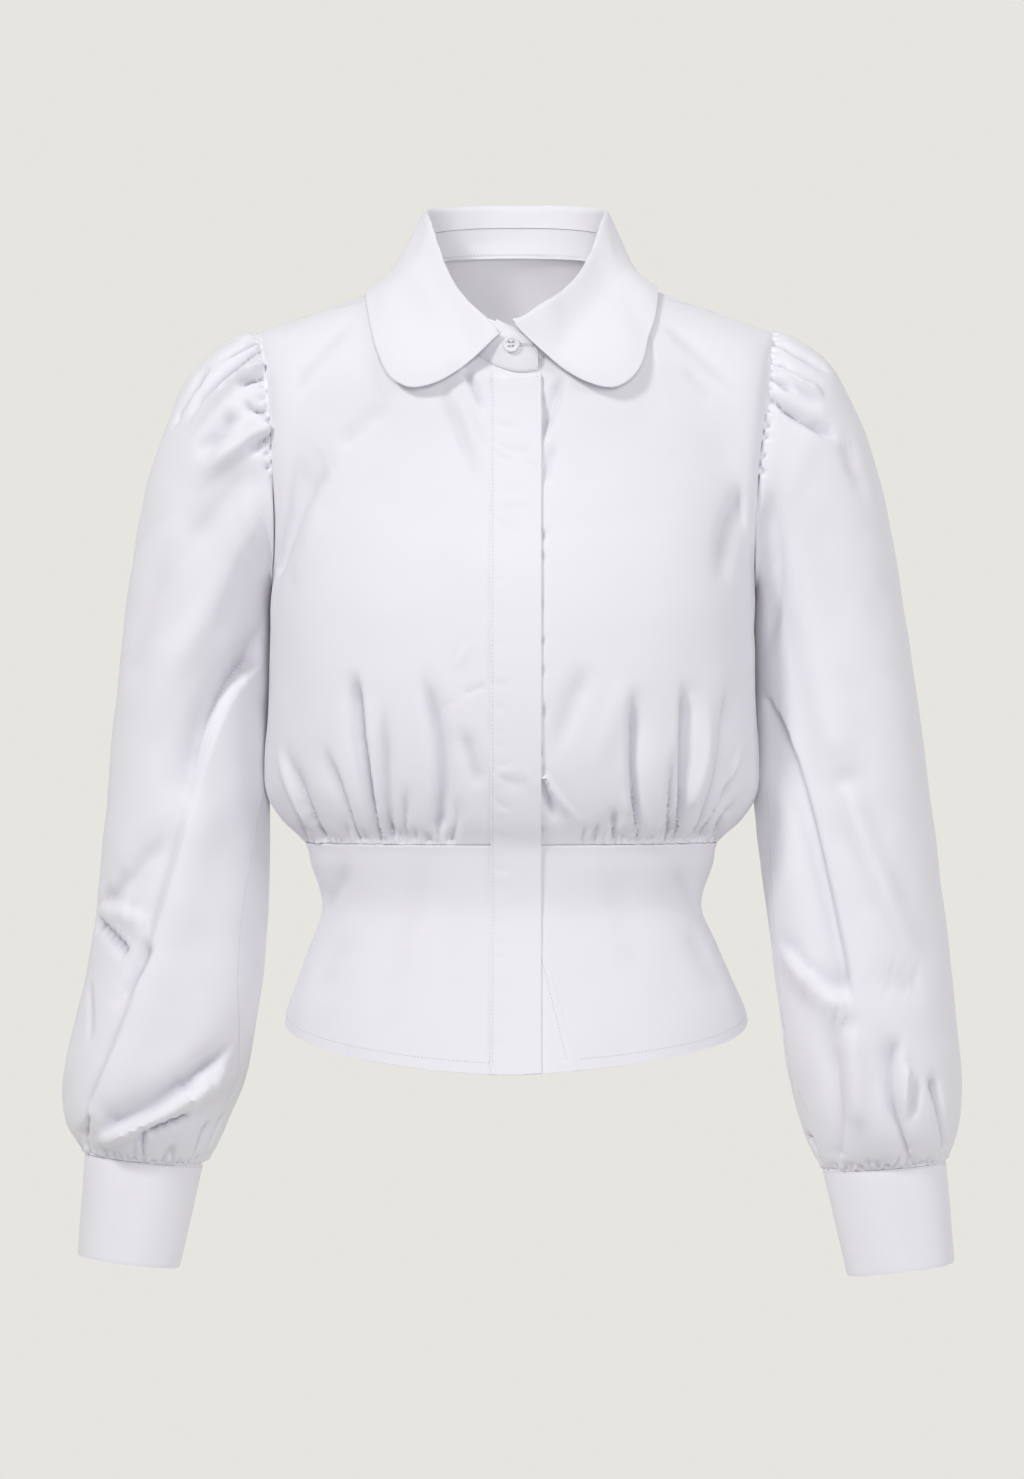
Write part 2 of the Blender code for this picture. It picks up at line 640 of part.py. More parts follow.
def cloth_piece(name, rows, wall, closed=False, out=-1, ridge=()):
    """A wall of cloth: rows of points on its outer face, and the same points moved in.

    out says on which side of the grid's own normals the outer face lies. The columns
    named in ridge lie on the shoulder seam in the first row, where the wall is upright.
    """
    normals = grid_normals(rows, closed)
    for c in ridge:
        normals[0][c] = Vector((0, 0, out))
    count = len(rows[0])
    outer = [p for row in rows for p in row]
    inner = [p - n * out * wall for row, line in zip(rows, normals) for p, n in zip(row, line)]
    shift = len(outer)
    faces = grid_faces(rows, closed)
    faces += [tuple(k + shift for k in reversed(face)) for face in faces]
    last = (len(rows) - 1) * count
    loops = [list(range(count)), [last + c for c in reversed(range(count))]]
    if closed:
        loops = [loop + loop[:1] for loop in loops]
    else:
        down = [r * count for r in range(len(rows))]
        loops = [loops[0] + [d + count - 1 for d in down[1:]] + loops[1][1:] + down[::-1][1:]]
    for loop in loops:
        for a, b in zip(loop, loop[1:]):
            faces.append((b, a, a + shift, b + shift))
    if out < 0:
        faces = [tuple(reversed(face)) for face in faces]
    item = new_object(name, outer + inner, faces, "cloth", 0.75)
    item.data.shade_smooth()
    item.data.set_sharp_from_angle(angle=radians(50))


def lifted(rows, distance):
    """The same rows moved out along the surface's own normals."""
    normals = grid_normals(rows, False)
    return [[p - n * distance for p, n in zip(row, line)] for row, line in zip(rows, normals)]


def bodice_levels():
    upper = [k / ARMHOLE_ROWS for k in range(ARMHOLE_ROWS + 1)]
    lower = [1 + k / LOWER_ROWS for k in range(1, LOWER_ROWS + 1)]
    return upper + lower


def waist_levels():
    return [2 + k / WAIST_ROWS for k in range(WAIST_ROWS + 1)]


def under_edge(level):
    """The left front's band ends here; its edge slants out towards the hem."""
    slant = (level - SLANT_START) / (3 - SLANT_START)
    return lerp(FRONT_EDGE - 1, UNDER_BAND_HEM, min(max(slant, 0.0), 1.0))


def right_edge(level):
    return -FRONT_EDGE


def left_edge(level):
    return under_edge(level) + 1


def half_rows(side, face, levels, point_at, edge_at):
    rows = []
    for level in levels:
        row = [point_at(side, face, c / COLUMNS, level, edge_at(level)) for c in range(COLUMNS + 1)]
        rows.append(row if side > 0 else row[::-1])
    return rows


def whole_back(levels, point_at):
    rows = []
    for level in levels:
        left = [point_at(1, -1, c / COLUMNS, level) for c in range(COLUMNS + 1)]
        right = [point_at(-1, -1, c / COLUMNS, level) for c in range(1, COLUMNS + 1)]
        rows.append(left[::-1] + right)
    return rows


def body_pieces():
    """The six panels: name, rows of points, and the columns on the shoulder seam."""
    upper = bodice_levels()
    lower = waist_levels()
    shoulder = range(NECK_COLUMNS, COLUMNS + 1)
    mirrored = [COLUMNS - c for c in shoulder]
    across_back = mirrored + [COLUMNS + c for c in shoulder]
    return [
        ("right_front", half_rows(-1, 1, upper, bodice_point, right_edge), mirrored),
        ("left_front", half_rows(1, 1, upper, bodice_point, left_edge), shoulder),
        ("back", whole_back(upper, bodice_point), across_back),
        ("right_waist_panel", half_rows(-1, 1, lower, waist_point, right_edge), ()),
        ("left_waist_panel", half_rows(1, 1, lower, waist_point, left_edge), ()),
        ("back_waist_panel", whole_back(lower, waist_point), ()),
    ]


def make_body():
    for name, rows, ridge in body_pieces():
        cloth_piece(name, rows, CLOTH_WALL, ridge=ridge)


def make_bands():
    levels = [BAND_TOP] + bodice_levels()[1:] + waist_levels()[1:]
    rows = []
    under_rows = []
    for level in levels:
        places = [lerp(-BAND_HALF, BAND_HALF, k / 3) for k in range(4)]
        rows.append([centre_point(-1 if x < 0 else 1, x, level) for x in places])
        edge = under_edge(level)
        under_places = [lerp(SEAM_GAP - FRONT_EDGE, edge, k / 2) for k in range(3)]
        under_rows.append([centre_point(-1 if x < 0 else 1, x, level) for x in under_places])
    cloth_piece("front_placket", lifted(rows, BAND_WALL + SEAM_GAP + 0.5), BAND_WALL)
    cloth_piece("under_placket", under_rows, CLOTH_WALL)


def neck_stations():
    """Turns round the neck that the body's own columns use, so that seams match."""
    front = [neck_turn(1, k / NECK_COLUMNS, FRONT_EDGE) for k in range(NECK_COLUMNS)]
    back = [neck_turn(-1, k / NECK_COLUMNS, 0) for k in range(NECK_COLUMNS, 0, -1)]
    half = front + back
    other = [360 - turn for turn in reversed(half)]
    end = TURN_PER_MM * STAND_END
    return [-end, 0] + half + [180] + other + [360, 360 + end]


def make_stand():
    rows = []
    for share in (1.0, 0.5, 0.0):
        rows.append([stand_point(turn, share) for turn in neck_stations()])
    cloth_piece("collar_stand", rows, STAND_WALL)


def ground_tree():
    """The outside of the fronts and back, to lay the collar on."""
    points = []
    faces = []
    for _, rows, _ in body_pieces()[:3]:
        start = len(points)
        points.extend(p for row in rows for p in row)
        for a, b, c, d in grid_faces(rows, False):
            halves = ((a, c, b), (a, d, c), (a, d, b), (b, d, c))    # both ways to halve a facet
            faces.extend(tuple(start + k for k in half) for half in halves)
    return BVHTree.FromPolygons(points, faces)


def make_collar():
    ground = ground_tree()
    first = -TURN_PER_MM * COLLAR_TIP_LEFT
    last = 360 - TURN_PER_MM * COLLAR_TIP_RIGHT
    sections = []
    for k in range(COLLAR_STATIONS + 1):
        turn = lerp(first, last, k / COLLAR_STATIONS)
        sections.append(leaf_shape(turn, first if turn <= 180 else last, ground))
    rows = [list(row) for row in zip(*sections)]
    cloth_piece("collar", rows, BAND_WALL)


def make_sleeve(name, side, rings, folds):
    count = 2 * ARMHOLE_ROWS
    last = len(rings) - 1
    rows = []
    for place in range(last + 1):
        row = [sleeve_point(side, rings, folds, 360 * c / count, place) for c in range(count)]
        rows.append(row)
    cloth_piece(name, rows, CLOTH_WALL, closed=True, out=side)


def make_cuff(name, side, ends):
    """A band that goes once round and laps over itself at the back."""
    start = 270 - CUFF_OVERLAP / 2
    whole = 360 + CUFF_OVERLAP
    rows = []
    for share in (0.0, 0.5, 1.0):
        row = []
        for c in range(CUFF_COLUMNS + 1):
            turned = whole * c / CUFF_COLUMNS
            lift = CUFF_LIFT * smooth((turned - 270) / 90)
            row.append(cuff_point(side, ends, start + turned, share, lift))
        rows.append(row)
    cloth_piece(name, rows, BAND_WALL, out=side)


# ---- buttons ----
def button_mesh():
    """A four-hole button with a raised rim, its back on Z = 0, facing +Z."""
    half = BUTTON_WIDTH / 2
    profile = [(0.0, BUTTON_THICK - 0.7), (half - 2.0, BUTTON_THICK - 0.6),
               (half - 1.3, BUTTON_THICK), (half - 0.4, BUTTON_THICK - 0.1),
               (half, BUTTON_THICK - 0.8), (half - 0.3, 0.5), (half - 1.2, 0.0), (0.0, 0.0)]
    sides = 16
    work = bmesh.new()
    top = work.verts.new((0, 0, profile[0][1] * MM))
    low = work.verts.new((0, 0, 0))
    loops = []
    for radius, height in profile[1:-1]:
        loop = []
        for k in range(sides):
            a = 2 * pi * k / sides
            loop.append(work.verts.new((radius * cos(a) * MM, radius * sin(a) * MM, height * MM)))
        loops.append(loop)
    for k in range(sides):
        n = (k + 1) % sides
        work.faces.new((top, loops[0][k], loops[0][n]))
        work.faces.new((low, loops[-1][n], loops[-1][k]))
        for upper, lower in zip(loops, loops[1:]):
            work.faces.new((upper[k], lower[k], lower[n], upper[n]))
    mesh = bpy.data.meshes.new("button")
    work.to_mesh(mesh)
    work.free()
    mesh.materials.append(cloth_material("button", COLORS["button"], 0.35))
    return mesh


def hole_cutter():
    """Four pegs that cut the thread holes."""
    work = bmesh.new()
    off = HOLE_SPACING * MM
    for sx in (-1, 1):
        for sy in (-1, 1):
            made = bmesh.ops.create_cone(work, cap_ends=True, segments=6, radius1=BUTTON_HOLE / 2 * MM,
                                         radius2=BUTTON_HOLE / 2 * MM, depth=4 * BUTTON_THICK * MM)
            bmesh.ops.translate(work, verts=made["verts"], vec=(sx * off, sy * off, 0))
    mesh = bpy.data.meshes.new("thread_holes")
    work.to_mesh(mesh)
    work.free()
    return mesh


def place_button(name, mesh, pegs, point, facing):
    """A button whose back lies on a point, facing along a direction."""
    turn = facing.to_track_quat("Z", "Y")
    item = bpy.data.objects.new(name, mesh.copy())
    cutter = bpy.data.objects.new(name + "_holes", pegs)
    for thing in (item, cutter):
        bpy.context.scene.collection.objects.link(thing)
        thing.rotation_mode = "QUATERNION"
        thing.rotation_quaternion = turn
        thing.location = point * MM
    cutter.hide_render = True
    cutter.display_type = "WIRE"
    cut = item.modifiers.new("holes", "BOOLEAN")
    cut.operation = "DIFFERENCE"
    cut.solver = "EXACT"
    cut.object = cutter
    item.data.shade_smooth()


def make_buttons():
    mesh = button_mesh()
    pegs = hole_cutter()
    turn = 360 - TURN_PER_MM * NECK_BUTTON_AT
    low = stand_point(turn, 0.30)
    high = stand_point(turn, 0.75)
    ahead = stand_point(turn + 4, 0.5) - stand_point(turn - 4, 0.5)
    facing = ahead.cross(high - low).normalized()
    if facing.y > 0:
        facing = -facing
    place_button("neck_button", mesh, pegs, stand_point(turn, 0.5) + facing * NECK_BUTTON_LIFT, facing)
    for name, side, ends in (("right_cuff", -1, RIGHT_CUFF), ("left_cuff", 1, LEFT_CUFF)):
        for number, share in enumerate(CUFF_BUTTON_SHARES, 1):
            swing = 270
            point = cuff_point(side, ends, swing, share, CUFF_LIFT)
            beside = cuff_point(side, ends, swing + 6, share, CUFF_LIFT) - point
            below = cuff_point(side, ends, swing, share + 0.1, CUFF_LIFT) - point
            facing = beside.cross(below).normalized()
            if facing.y < 0:
                facing = -facing
            place_button(f"{name}_button_{number}", mesh, pegs, point + facing * CUFF_BUTTON_LIFT, facing)


def make_blouse():
    for item in list(bpy.data.objects):
        bpy.data.objects.remove(item)
    make_body()
    make_bands()
    make_stand()
    make_collar()
    make_sleeve("right_sleeve", -1, RIGHT_SLEEVE, RIGHT_FOLDS)
    make_sleeve("left_sleeve", 1, LEFT_SLEEVE, LEFT_FOLDS)
    make_cuff("right_cuff", -1, RIGHT_CUFF)
    make_cuff("left_cuff", 1, LEFT_CUFF)
    make_buttons()


make_blouse()
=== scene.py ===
# A white round-collar blouse with full gathered sleeves, filled out as if worn.
# Shapes are worked out in millimetres and written to the meshes in metres.
from collections import namedtuple
from math import pi, radians

import bmesh
import bpy
import numpy as np
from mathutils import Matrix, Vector
from mathutils.bvhtree import BVHTree


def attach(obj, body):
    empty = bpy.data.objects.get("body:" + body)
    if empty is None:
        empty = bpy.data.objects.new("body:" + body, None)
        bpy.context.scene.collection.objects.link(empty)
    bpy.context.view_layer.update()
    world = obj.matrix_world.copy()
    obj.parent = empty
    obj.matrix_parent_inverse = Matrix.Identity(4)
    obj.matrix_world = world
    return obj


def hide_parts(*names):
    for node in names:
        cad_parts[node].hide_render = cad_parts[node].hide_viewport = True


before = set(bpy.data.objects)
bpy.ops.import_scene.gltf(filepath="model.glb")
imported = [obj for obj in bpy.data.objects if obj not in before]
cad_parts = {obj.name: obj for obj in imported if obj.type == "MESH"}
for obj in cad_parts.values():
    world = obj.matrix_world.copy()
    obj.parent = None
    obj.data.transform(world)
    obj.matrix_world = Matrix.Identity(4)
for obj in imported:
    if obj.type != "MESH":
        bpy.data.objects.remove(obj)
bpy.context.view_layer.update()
mm = 0.001


# ---- reading tables and grids ----
def smooth(value):
    t = np.clip(value, 0.0, 1.0)
    return t * t * (3 - 2 * t)


def lerp(a, b, share):
    return a + (b - a) * share


def bell(gap, width):
    # 1 where the gap is 0, fading to 0 a little beyond the width
    return np.exp(-(gap / width) ** 2)


def vector(*parts):
    return np.stack(np.broadcast_arrays(*[np.asarray(p, float) for p in parts]), -1)


def unit(v):
    return v / np.maximum(np.linalg.norm(v, axis=-1, keepdims=True), 1e-9)


def bend(t, start, slopeStart, end, slopeEnd):
    # a smooth curve between two values that leaves and meets them with the given slopes
    h1 = 2 * t ** 3 - 3 * t ** 2 + 1
    h2 = t ** 3 - 2 * t ** 2 + t
    h3 = -2 * t ** 3 + 3 * t ** 2
    h4 = t ** 3 - t ** 2
    return h1 * start + h2 * slopeStart + h3 * end + h4 * slopeEnd


def along(table, key):
    # rows between the rows of a table, on a smooth curve through them
    rows = np.array(table, float)
    last = len(rows) - 1
    key = np.clip(np.asarray(key, float), rows[0, 0], rows[last, 0])
    i = np.clip(np.searchsorted(rows[:, 0], key, side="left") - 1, 0, last - 1)
    before = rows[np.maximum(i - 1, 0)]
    start = rows[i]
    end = rows[i + 1]
    after = rows[np.minimum(i + 2, last)]
    span = end[..., :1] - start[..., :1]
    t = (key[..., None] - start[..., :1]) / span
    slopeStart = (end - before) / (end[..., :1] - before[..., :1]) * span
    slopeEnd = (after - start) / (after[..., :1] - start[..., :1]) * span
    return bend(t, start, slopeStart, end, slopeEnd)


def calmed(line, passes):
    # smooths a line, or the rows of a grid, along its way and keeps both ends
    for _ in range(passes):
        line[1:-1] = (line[:-2] + 2 * line[1:-1] + line[2:]) / 4
    return line


def gridNormals(grid, closed=False):
    if closed:
        right = np.roll(grid, -1, 1) - np.roll(grid, 1, 1)
    else:
        right = np.gradient(grid, axis=1)
    down = np.gradient(grid, axis=0)
    return unit(np.cross(right, down))


def lengthsAlong(grid, axis):
    # the way from the first row (0) or column (1) to each point
    step = np.linalg.norm(np.diff(grid, axis=axis), axis=-1)
    start = np.zeros_like(np.take(step, [0], axis=axis))
    return np.concatenate([start, np.cumsum(step, axis=axis)], axis=axis)


def fromEnds(grid, axis):
    # the way to each point from the first and from the last row (0) or column (1)
    fromFirst = lengthsAlong(grid, axis)
    return fromFirst, np.take(fromFirst, [-1], axis=axis) - fromFirst


def spaced(count, fine, near=True):
    # shares from 0 to 1, with extra ones close to the ends where the cloth turns into a seam
    inner = np.linspace(0, 1, count + 1)
    start = fine if near else ()
    end = [1 - share for share in fine]
    return np.unique(np.round(np.concatenate([inner, start, end]), 6))


# ---- the body of the blouse ----
body = {
    "seamGap": 0.5, "tipHeight": -30.0, "tipReach": 178.5, "shoulderSlope": 0.3585,
    "shoulderRound": 60.0, "slopeFade": 150.0, "armholeDrop": 175.0, "armholeHalfDepth": 52.0,
    "waistDrop": 356.5, "frontEdge": 13.0, "underBandHem": 40.0, "slantStart": 2.35,
    "hemFront": -541.5, "hemSide": -509.0, "hemBack": -529.0, "hemCurve": 0.8,
    "turnPerMm": 15 / 19, "neckShare": 6 / 11, "neckSide": 68.5, "wall": 0.45,
    "rings": [    # drop, half width, centre, front, back, squareness
        (0, 178.5, 0.0, 72, 82, 2.1),
        (30, 177.5, 0.0, 76, 88, 2.2),
        (80, 176.0, -0.5, 87, 98, 2.3),
        (130, 174.5, -1.5, 103, 103, 2.35),
        (175, 172.5, -2.6, 116, 104, 2.4),
        (225, 170.8, -3.0, 122, 102, 2.4),
        (265, 171.3, -3.0, 122, 99, 2.4),
        (300, 173.0, -2.6, 118, 98, 2.35),
        (322, 171.5, -2.6, 112, 97, 2.3),
        (340, 161.0, -3.0, 104, 94, 2.25),
        (356.5, 144.5, -3.5, 94, 88, 2.2),
        (372, 140.5, -2.9, 90, 85, 2.2),
        (392, 133.6, -2.8, 87, 83, 2.2),
        (405, 133.0, -2.6, 87, 84, 2.2),
        (425, 141.0, -1.8, 91, 89, 2.2),
        (452, 152.0, -0.7, 99, 98, 2.2),
        (474, 160.3, 0.0, 106, 106, 2.2),
        (512, 166.0, 0.0, 118, 117, 2.2),
    ],
    "armhole": [    # drop, reach, centre
        (0, 178.5, 0.0),
        (25, 174.8, 0.8),
        (60, 171.5, 0.8),
        (90, 169.0, 0.0),
        (125, 167.0, -0.5),
        (155, 167.0, -1.0),
        (175, 168.8, -2.0),
    ],
    "neck": [    # turn, side, forward, height
        (-15, -19, -72.5, -52.5),
        (0, 0, -76.5, -57),
        (15, 19, -72.5, -52.5),
        (30, 36, -62, -41.5),
        (45, 49.5, -47, -27.5),
        (60, 59.5, -30, -13),
        (75, 66, -14, 0),
        (90, 68.5, 0, 9.4),
        (110, 66.5, 21, 19),
        (135, 52, 43, 26),
        (160, 27, 58, 30),
        (180, 0, 62, 31),
        (200, -27, 58, 30),
    ],
}


def reachAt(turn, square):
    s = np.abs(np.sin(np.radians(turn)))
    c = np.maximum(np.cos(np.radians(turn)), 0.0)
    return (s ** square + c ** square) ** (-1 / square)


def bodyPoint(side, face, turn, drop):
    # turn runs from the centre (0) to the side seam (90), drop down from the shoulder tip
    turn, drop = np.broadcast_arrays(np.asarray(turn, float), np.asarray(drop, float))
    ring = along(body["rings"], drop)
    half = ring[..., 1]
    reach = reachAt(turn, ring[..., 5])
    across = np.sin(np.radians(turn)) * reach
    rounding = np.sqrt(1 - (1 - np.clip(drop / body["shoulderRound"], 0, 1)) ** 2)
    depth = ring[..., 3 if face > 0 else 4] * rounding
    x = ring[..., 2] + side * half * across
    c = np.maximum(np.cos(np.radians(turn)), 0.0)
    y = -face * (depth * c * reach + body["seamGap"] / 2)
    slope = body["shoulderSlope"] * (1 - smooth(drop / body["slopeFade"]))
    z = body["tipHeight"] - drop + slope * half * (1 - np.abs(across))
    return vector(x, y, z)


def turnOf(x, side, drop):
    ring = along(body["rings"], drop)
    share = np.clip(side * (x - ring[..., 2]) / ring[..., 1], -1.0, 1.0)
    square = ring[..., 5]
    rest = np.maximum(1 - np.abs(share) ** square, 0.0) ** (1 / square)
    return np.degrees(np.arctan2(share, rest))


def armholePoint(side, face, level):
    drop = body["armholeDrop"] * (1 - np.cos(pi * level)) / 2
    line = along(body["armhole"], drop)
    y = -face * (body["armholeHalfDepth"] * np.sin(pi * level) + body["seamGap"] / 2)
    return vector(line[..., 2] + side * line[..., 1], y, body["tipHeight"] - drop)


def topPoint(side, face, across, edge):
    # the neck and shoulder seam of one half, from the centre (0) to the tip (1)
    share = body["neckShare"]
    part = np.clip(across / share, 0, 1)
    start = body["turnPerMm"] * side * edge
    turn = start + (90 - start) * part if face > 0 else 180 - 90 * part
    row = along(body["neck"], turn)
    neck = vector(side * row[..., 1], row[..., 2] - face * body["seamGap"] / 2, row[..., 3])
    rest = np.clip((across - share) / (1 - share), 0, 1)
    x = lerp(body["neckSide"], body["tipReach"], rest)
    z = body["tipHeight"] + body["shoulderSlope"] * (body["tipReach"] - x)
    ridge = vector(side * x, -face * body["seamGap"] / 2, z)
    return np.where((across <= share)[..., None], neck, ridge)


def dropAt(point, face, turn):
    ring = along(body["rings"], np.full(turn.shape, 20.0))
    full = ring[..., 3 if face > 0 else 4] * np.maximum(np.cos(np.radians(turn)), 0.001)
    full = full * reachAt(turn, ring[..., 5])
    depth = -face * point[..., 1] - body["seamGap"] / 2
    share = np.clip(depth / full, 0.0, 1.0)
    return body["shoulderRound"] * (1 - np.sqrt(1 - share * share))


def bodicePoint(side, face, across, level, edge):
    # level 0 neck and shoulder, 1 underarm, 2 waist seam
    across, level = np.broadcast_arrays(np.asarray(across, float), np.asarray(level, float))
    edge = np.broadcast_to(np.asarray(edge, float), level.shape)
    low = np.maximum(level, 1.0)
    drop = lerp(body["armholeDrop"], body["waistDrop"], low - 1)
    start = turnOf(edge, side, drop)
    lower = bodyPoint(side, face, start + (90 - start) * across, drop)
    under = armholePoint(side, face, 1.0) - bodyPoint(side, face, 90.0, body["armholeDrop"])
    lower = lower + under * (across ** 4 * (1 - smooth(low - 1)) ** 2)[..., None]
    up = np.minimum(level, 1.0)
    top = topPoint(side, face, across, edge)
    zero = np.zeros(up.shape)
    topTurn = turnOf(top[..., 0], side, zero)
    topDrop = dropAt(top, face, topTurn)
    cosine = (1 - np.cos(pi * up)) / 2
    eased = up ** lerp(1.0, 1.7, smooth(across / 0.4))
    drop = lerp(topDrop, body["armholeDrop"], lerp(eased, cosine, across ** 3))
    lowStart = turnOf(edge, side, zero + body["armholeDrop"])
    lowTurn = lowStart + (90 - lowStart) * across
    turn = lerp(topTurn, lowTurn, up)
    topStart = turnOf(edge, side, zero)
    turn = turn + (turnOf(edge, side, drop) - lerp(topStart, lowStart, up)) * (1 - across) ** 3
    arm = armholePoint(side, face, up)
    armDrop = body["armholeDrop"] * cosine
    armTurn = turnOf(arm[..., 0], side, armDrop)
    turn = turn + (armTurn - 90) * across ** 3
    upper = bodyPoint(side, face, turn, drop)
    upper = upper + (top - bodyPoint(side, face, topTurn, topDrop)) * ((1 - up) ** 2)[..., None]
    upper = upper + (arm - bodyPoint(side, face, armTurn, armDrop)) * (across ** 5)[..., None]
    return np.where((level >= 1)[..., None], lower, upper)


def waistPoint(side, face, across, level, edge):
    # level 2 at the waist seam, 3 at the hem
    across, level = np.broadcast_arrays(np.asarray(across, float), np.asarray(level, float))
    edge = np.broadcast_to(np.asarray(edge, float), level.shape)
    start = turnOf(edge, side, np.full(level.shape, body["waistDrop"]))
    turn = start + (90 - start) * across
    middle = body["hemFront"] if face > 0 else body["hemBack"]
    rise = (1 - np.cos(np.radians(turn))) ** body["hemCurve"]
    low = body["tipHeight"] - lerp(middle, body["hemSide"], rise)
    drop = lerp(body["waistDrop"] + body["seamGap"], low, level - 2)
    turn = turn + (turnOf(edge, side, drop) - start) * (1 - across) ** 2
    return bodyPoint(side, face, turn, drop)


def underEdge(level):
    slant = np.clip((level - body["slantStart"]) / (3 - body["slantStart"]), 0.0, 1.0)
    return lerp(body["frontEdge"] - 1, body["underBandHem"], slant)


# ---- folds pressed into the cloth ----
# A fold runs along a curve through three points, as seen from the front in the middle plane.
# It lifts (or, below zero, sinks) by so much, with its own width on its left and right side.
# Its fades are shares of its length; a fade of 0 means that it starts or ends in a seam.
Fold = namedtuple("Fold", "x0 z0 x1 z1 x2 z2 lift left right fadeIn fadeOut")
view = {"distance": 3400.0, "across": -2.8, "height": -314.65}    # where the camera stands
foldForm = {
    "reach": 3.0, "sharp": 2.0, "seamSharp": 1.3, "seamWidth": 0.5, "widthGain": 0.75, "openBy": 0.8,
    "seamLift": 0.55, "liftBy": 0.3,
}


def asSeen(grid):
    # where each point shows from the front, scaled to the middle plane
    scale = view["distance"] / (view["distance"] + grid[..., 1])
    x = view["across"] + (grid[..., 0] - view["across"]) * scale
    z = view["height"] + (grid[..., 2] - view["height"]) * scale
    return x, z


def bentLine(points, count=22):
    a, b, c = (np.asarray(p, float) for p in points)
    pull = 2 * b - (a + c) / 2
    t = np.linspace(0, 1, count)[:, None]
    return (1 - t) ** 2 * a + 2 * t * (1 - t) * pull + t * t * c


def laidLine(grid, normals, fold, face):
    # the fold's curve, laid on the nearest points of the cloth on that face
    flat = bentLine([(fold.x0, fold.z0), (fold.x1, fold.z1), (fold.x2, fold.z2)])
    x, z = asSeen(grid) if face > 0 else (grid[..., 0], grid[..., 2])
    away = np.where(normals[..., 1] * face > 0.05, 1e6, 0.0)
    found = []
    for px, pz in flat:
        gap = (x - px) ** 2 + (z - pz) ** 2 + away
        near = np.unravel_index(np.argpartition(gap, 4, axis=None)[:4], gap.shape)
        weight = 1 / (gap[near] + 0.05)
        found.append((grid[near] * weight[:, None]).sum(0) / weight.sum())
    return np.array(found)


def pressAlong(grid, normals, line, lift, left, right, fadeIn, fadeOut):
    # how far one fold moves each point of the cloth along its normal
    shift = np.zeros(grid.shape[:2])
    reach = foldForm["reach"] * max(left, right)
    inside = np.all((grid > line.min(0) - reach) & (grid < line.max(0) + reach), axis=-1)
    if not inside.any():
        return shift
    points = grid[inside]
    a = line[:-1]
    ab = line[1:] - a
    rel = points[:, None, :] - a[None]
    t = np.clip((rel * ab).sum(-1) / np.maximum((ab * ab).sum(-1), 1e-9), 0, 1)
    gap = rel - t[..., None] * ab
    dist = np.linalg.norm(gap, axis=-1)
    k = dist.argmin(1)
    row = np.arange(len(points))
    share = (k + t[row, k]) / len(a)
    leftward = np.cross(normals[inside], unit(ab)[k])
    onLeft = (leftward * gap[row, k]).sum(-1) > 0
    width = np.where(onLeft, left, right)
    fade = np.ones(len(points))
    sharp = np.full(len(points), foldForm["sharp"])
    if fadeIn > 0:
        fade = fade * smooth(share / fadeIn)
    if fadeOut > 0:
        fade = fade * smooth((1 - share) / fadeOut)
    if fadeIn == 0 or fadeOut == 0:
        # a fold is narrow and sharp where it leaves a seam, and opens out along its way
        fromSeam = share if fadeIn == 0 else 1 - share
        opened = smooth(fromSeam / foldForm["openBy"])
        width = width * (foldForm["seamWidth"] + foldForm["widthGain"] * opened)
        sharp = lerp(foldForm["seamSharp"], foldForm["sharp"], fromSeam)
        fade = fade * lerp(foldForm["seamLift"], 1.0, smooth(fromSeam / foldForm["liftBy"]))
    shift[inside] = lift * np.exp(-(dist[row, k] / width) ** sharp) * fade
    return shift


def pressFolds(grid, folds, face=1, closed=False, out=-1):
    # all the folds of one face, pressed into a grid of the cloth's outer side
    normals = gridNormals(grid, closed) * out
    shift = np.zeros(grid.shape[:2])
    for fold in folds:
        line = laidLine(grid, normals, fold, face)
        shift += pressAlong(grid, normals, line, *fold[6:])
    return shift


def movedOut(grid, shift, closed=False, out=-1):
    return grid + gridNormals(grid, closed) * out * shift[..., None]


# ---- meshes ----
waves = {"count": 16, "long": 70.0, "short": 22.0, "upright": 0.6, "growth": 1.2}
turnIn = {"round": 0.22, "roundDeep": 0.8, "width": 0.25, "deep": 3.2}


def ripple(grid, seed, deep):
    # soft uneven waves that no pressed cloth is without
    random = np.random.default_rng(seed)
    shift = np.zeros(grid.shape[:2])
    for _ in range(waves["count"]):
        size = waves["long"] * (waves["short"] / waves["long"]) ** random.random()
        way = unit(random.normal(size=3) * np.array([1.0, 1.0, waves["upright"]]))
        phase = (grid * way).sum(-1) * 2 * pi / size + random.uniform(0, 2 * pi)
        shift += np.sin(phase) * (size / waves["long"]) ** waves["growth"]
    return shift * deep / np.sqrt(waves["count"] / 2)


def tucked(grid, sides, closed=False, out=-1):
    # adds the seam allowance that turns in behind the named sides
    for side in sides:
        normals = gridNormals(grid, closed) * out
        axis = 0 if side in ("top", "bottom") else 1
        edge, near = (0, 1) if side in ("top", "start") else (-1, -2)
        rim = np.take(grid, [edge], axis=axis)
        beyond = unit(rim - np.take(grid, [near], axis=axis))
        down = np.take(normals, [edge], axis=axis)
        extra = [rim + beyond * turnIn["round"] - down * turnIn["roundDeep"],
                 rim + beyond * turnIn["width"] - down * turnIn["deep"]]
        if edge == 0:
            grid = np.concatenate([extra[1], extra[0], grid], axis)
        else:
            grid = np.concatenate([grid, extra[0], extra[1]], axis)
    return grid


def gridQuads(rows, columns, closed):
    r = np.arange(rows - 1)[:, None]
    c = np.arange(columns if closed else columns - 1)[None]
    n = (c + 1) % columns
    quads = np.stack([r * columns + c, r * columns + n, (r + 1) * columns + n, (r + 1) * columns + c], -1)
    return quads.reshape(-1, 4)


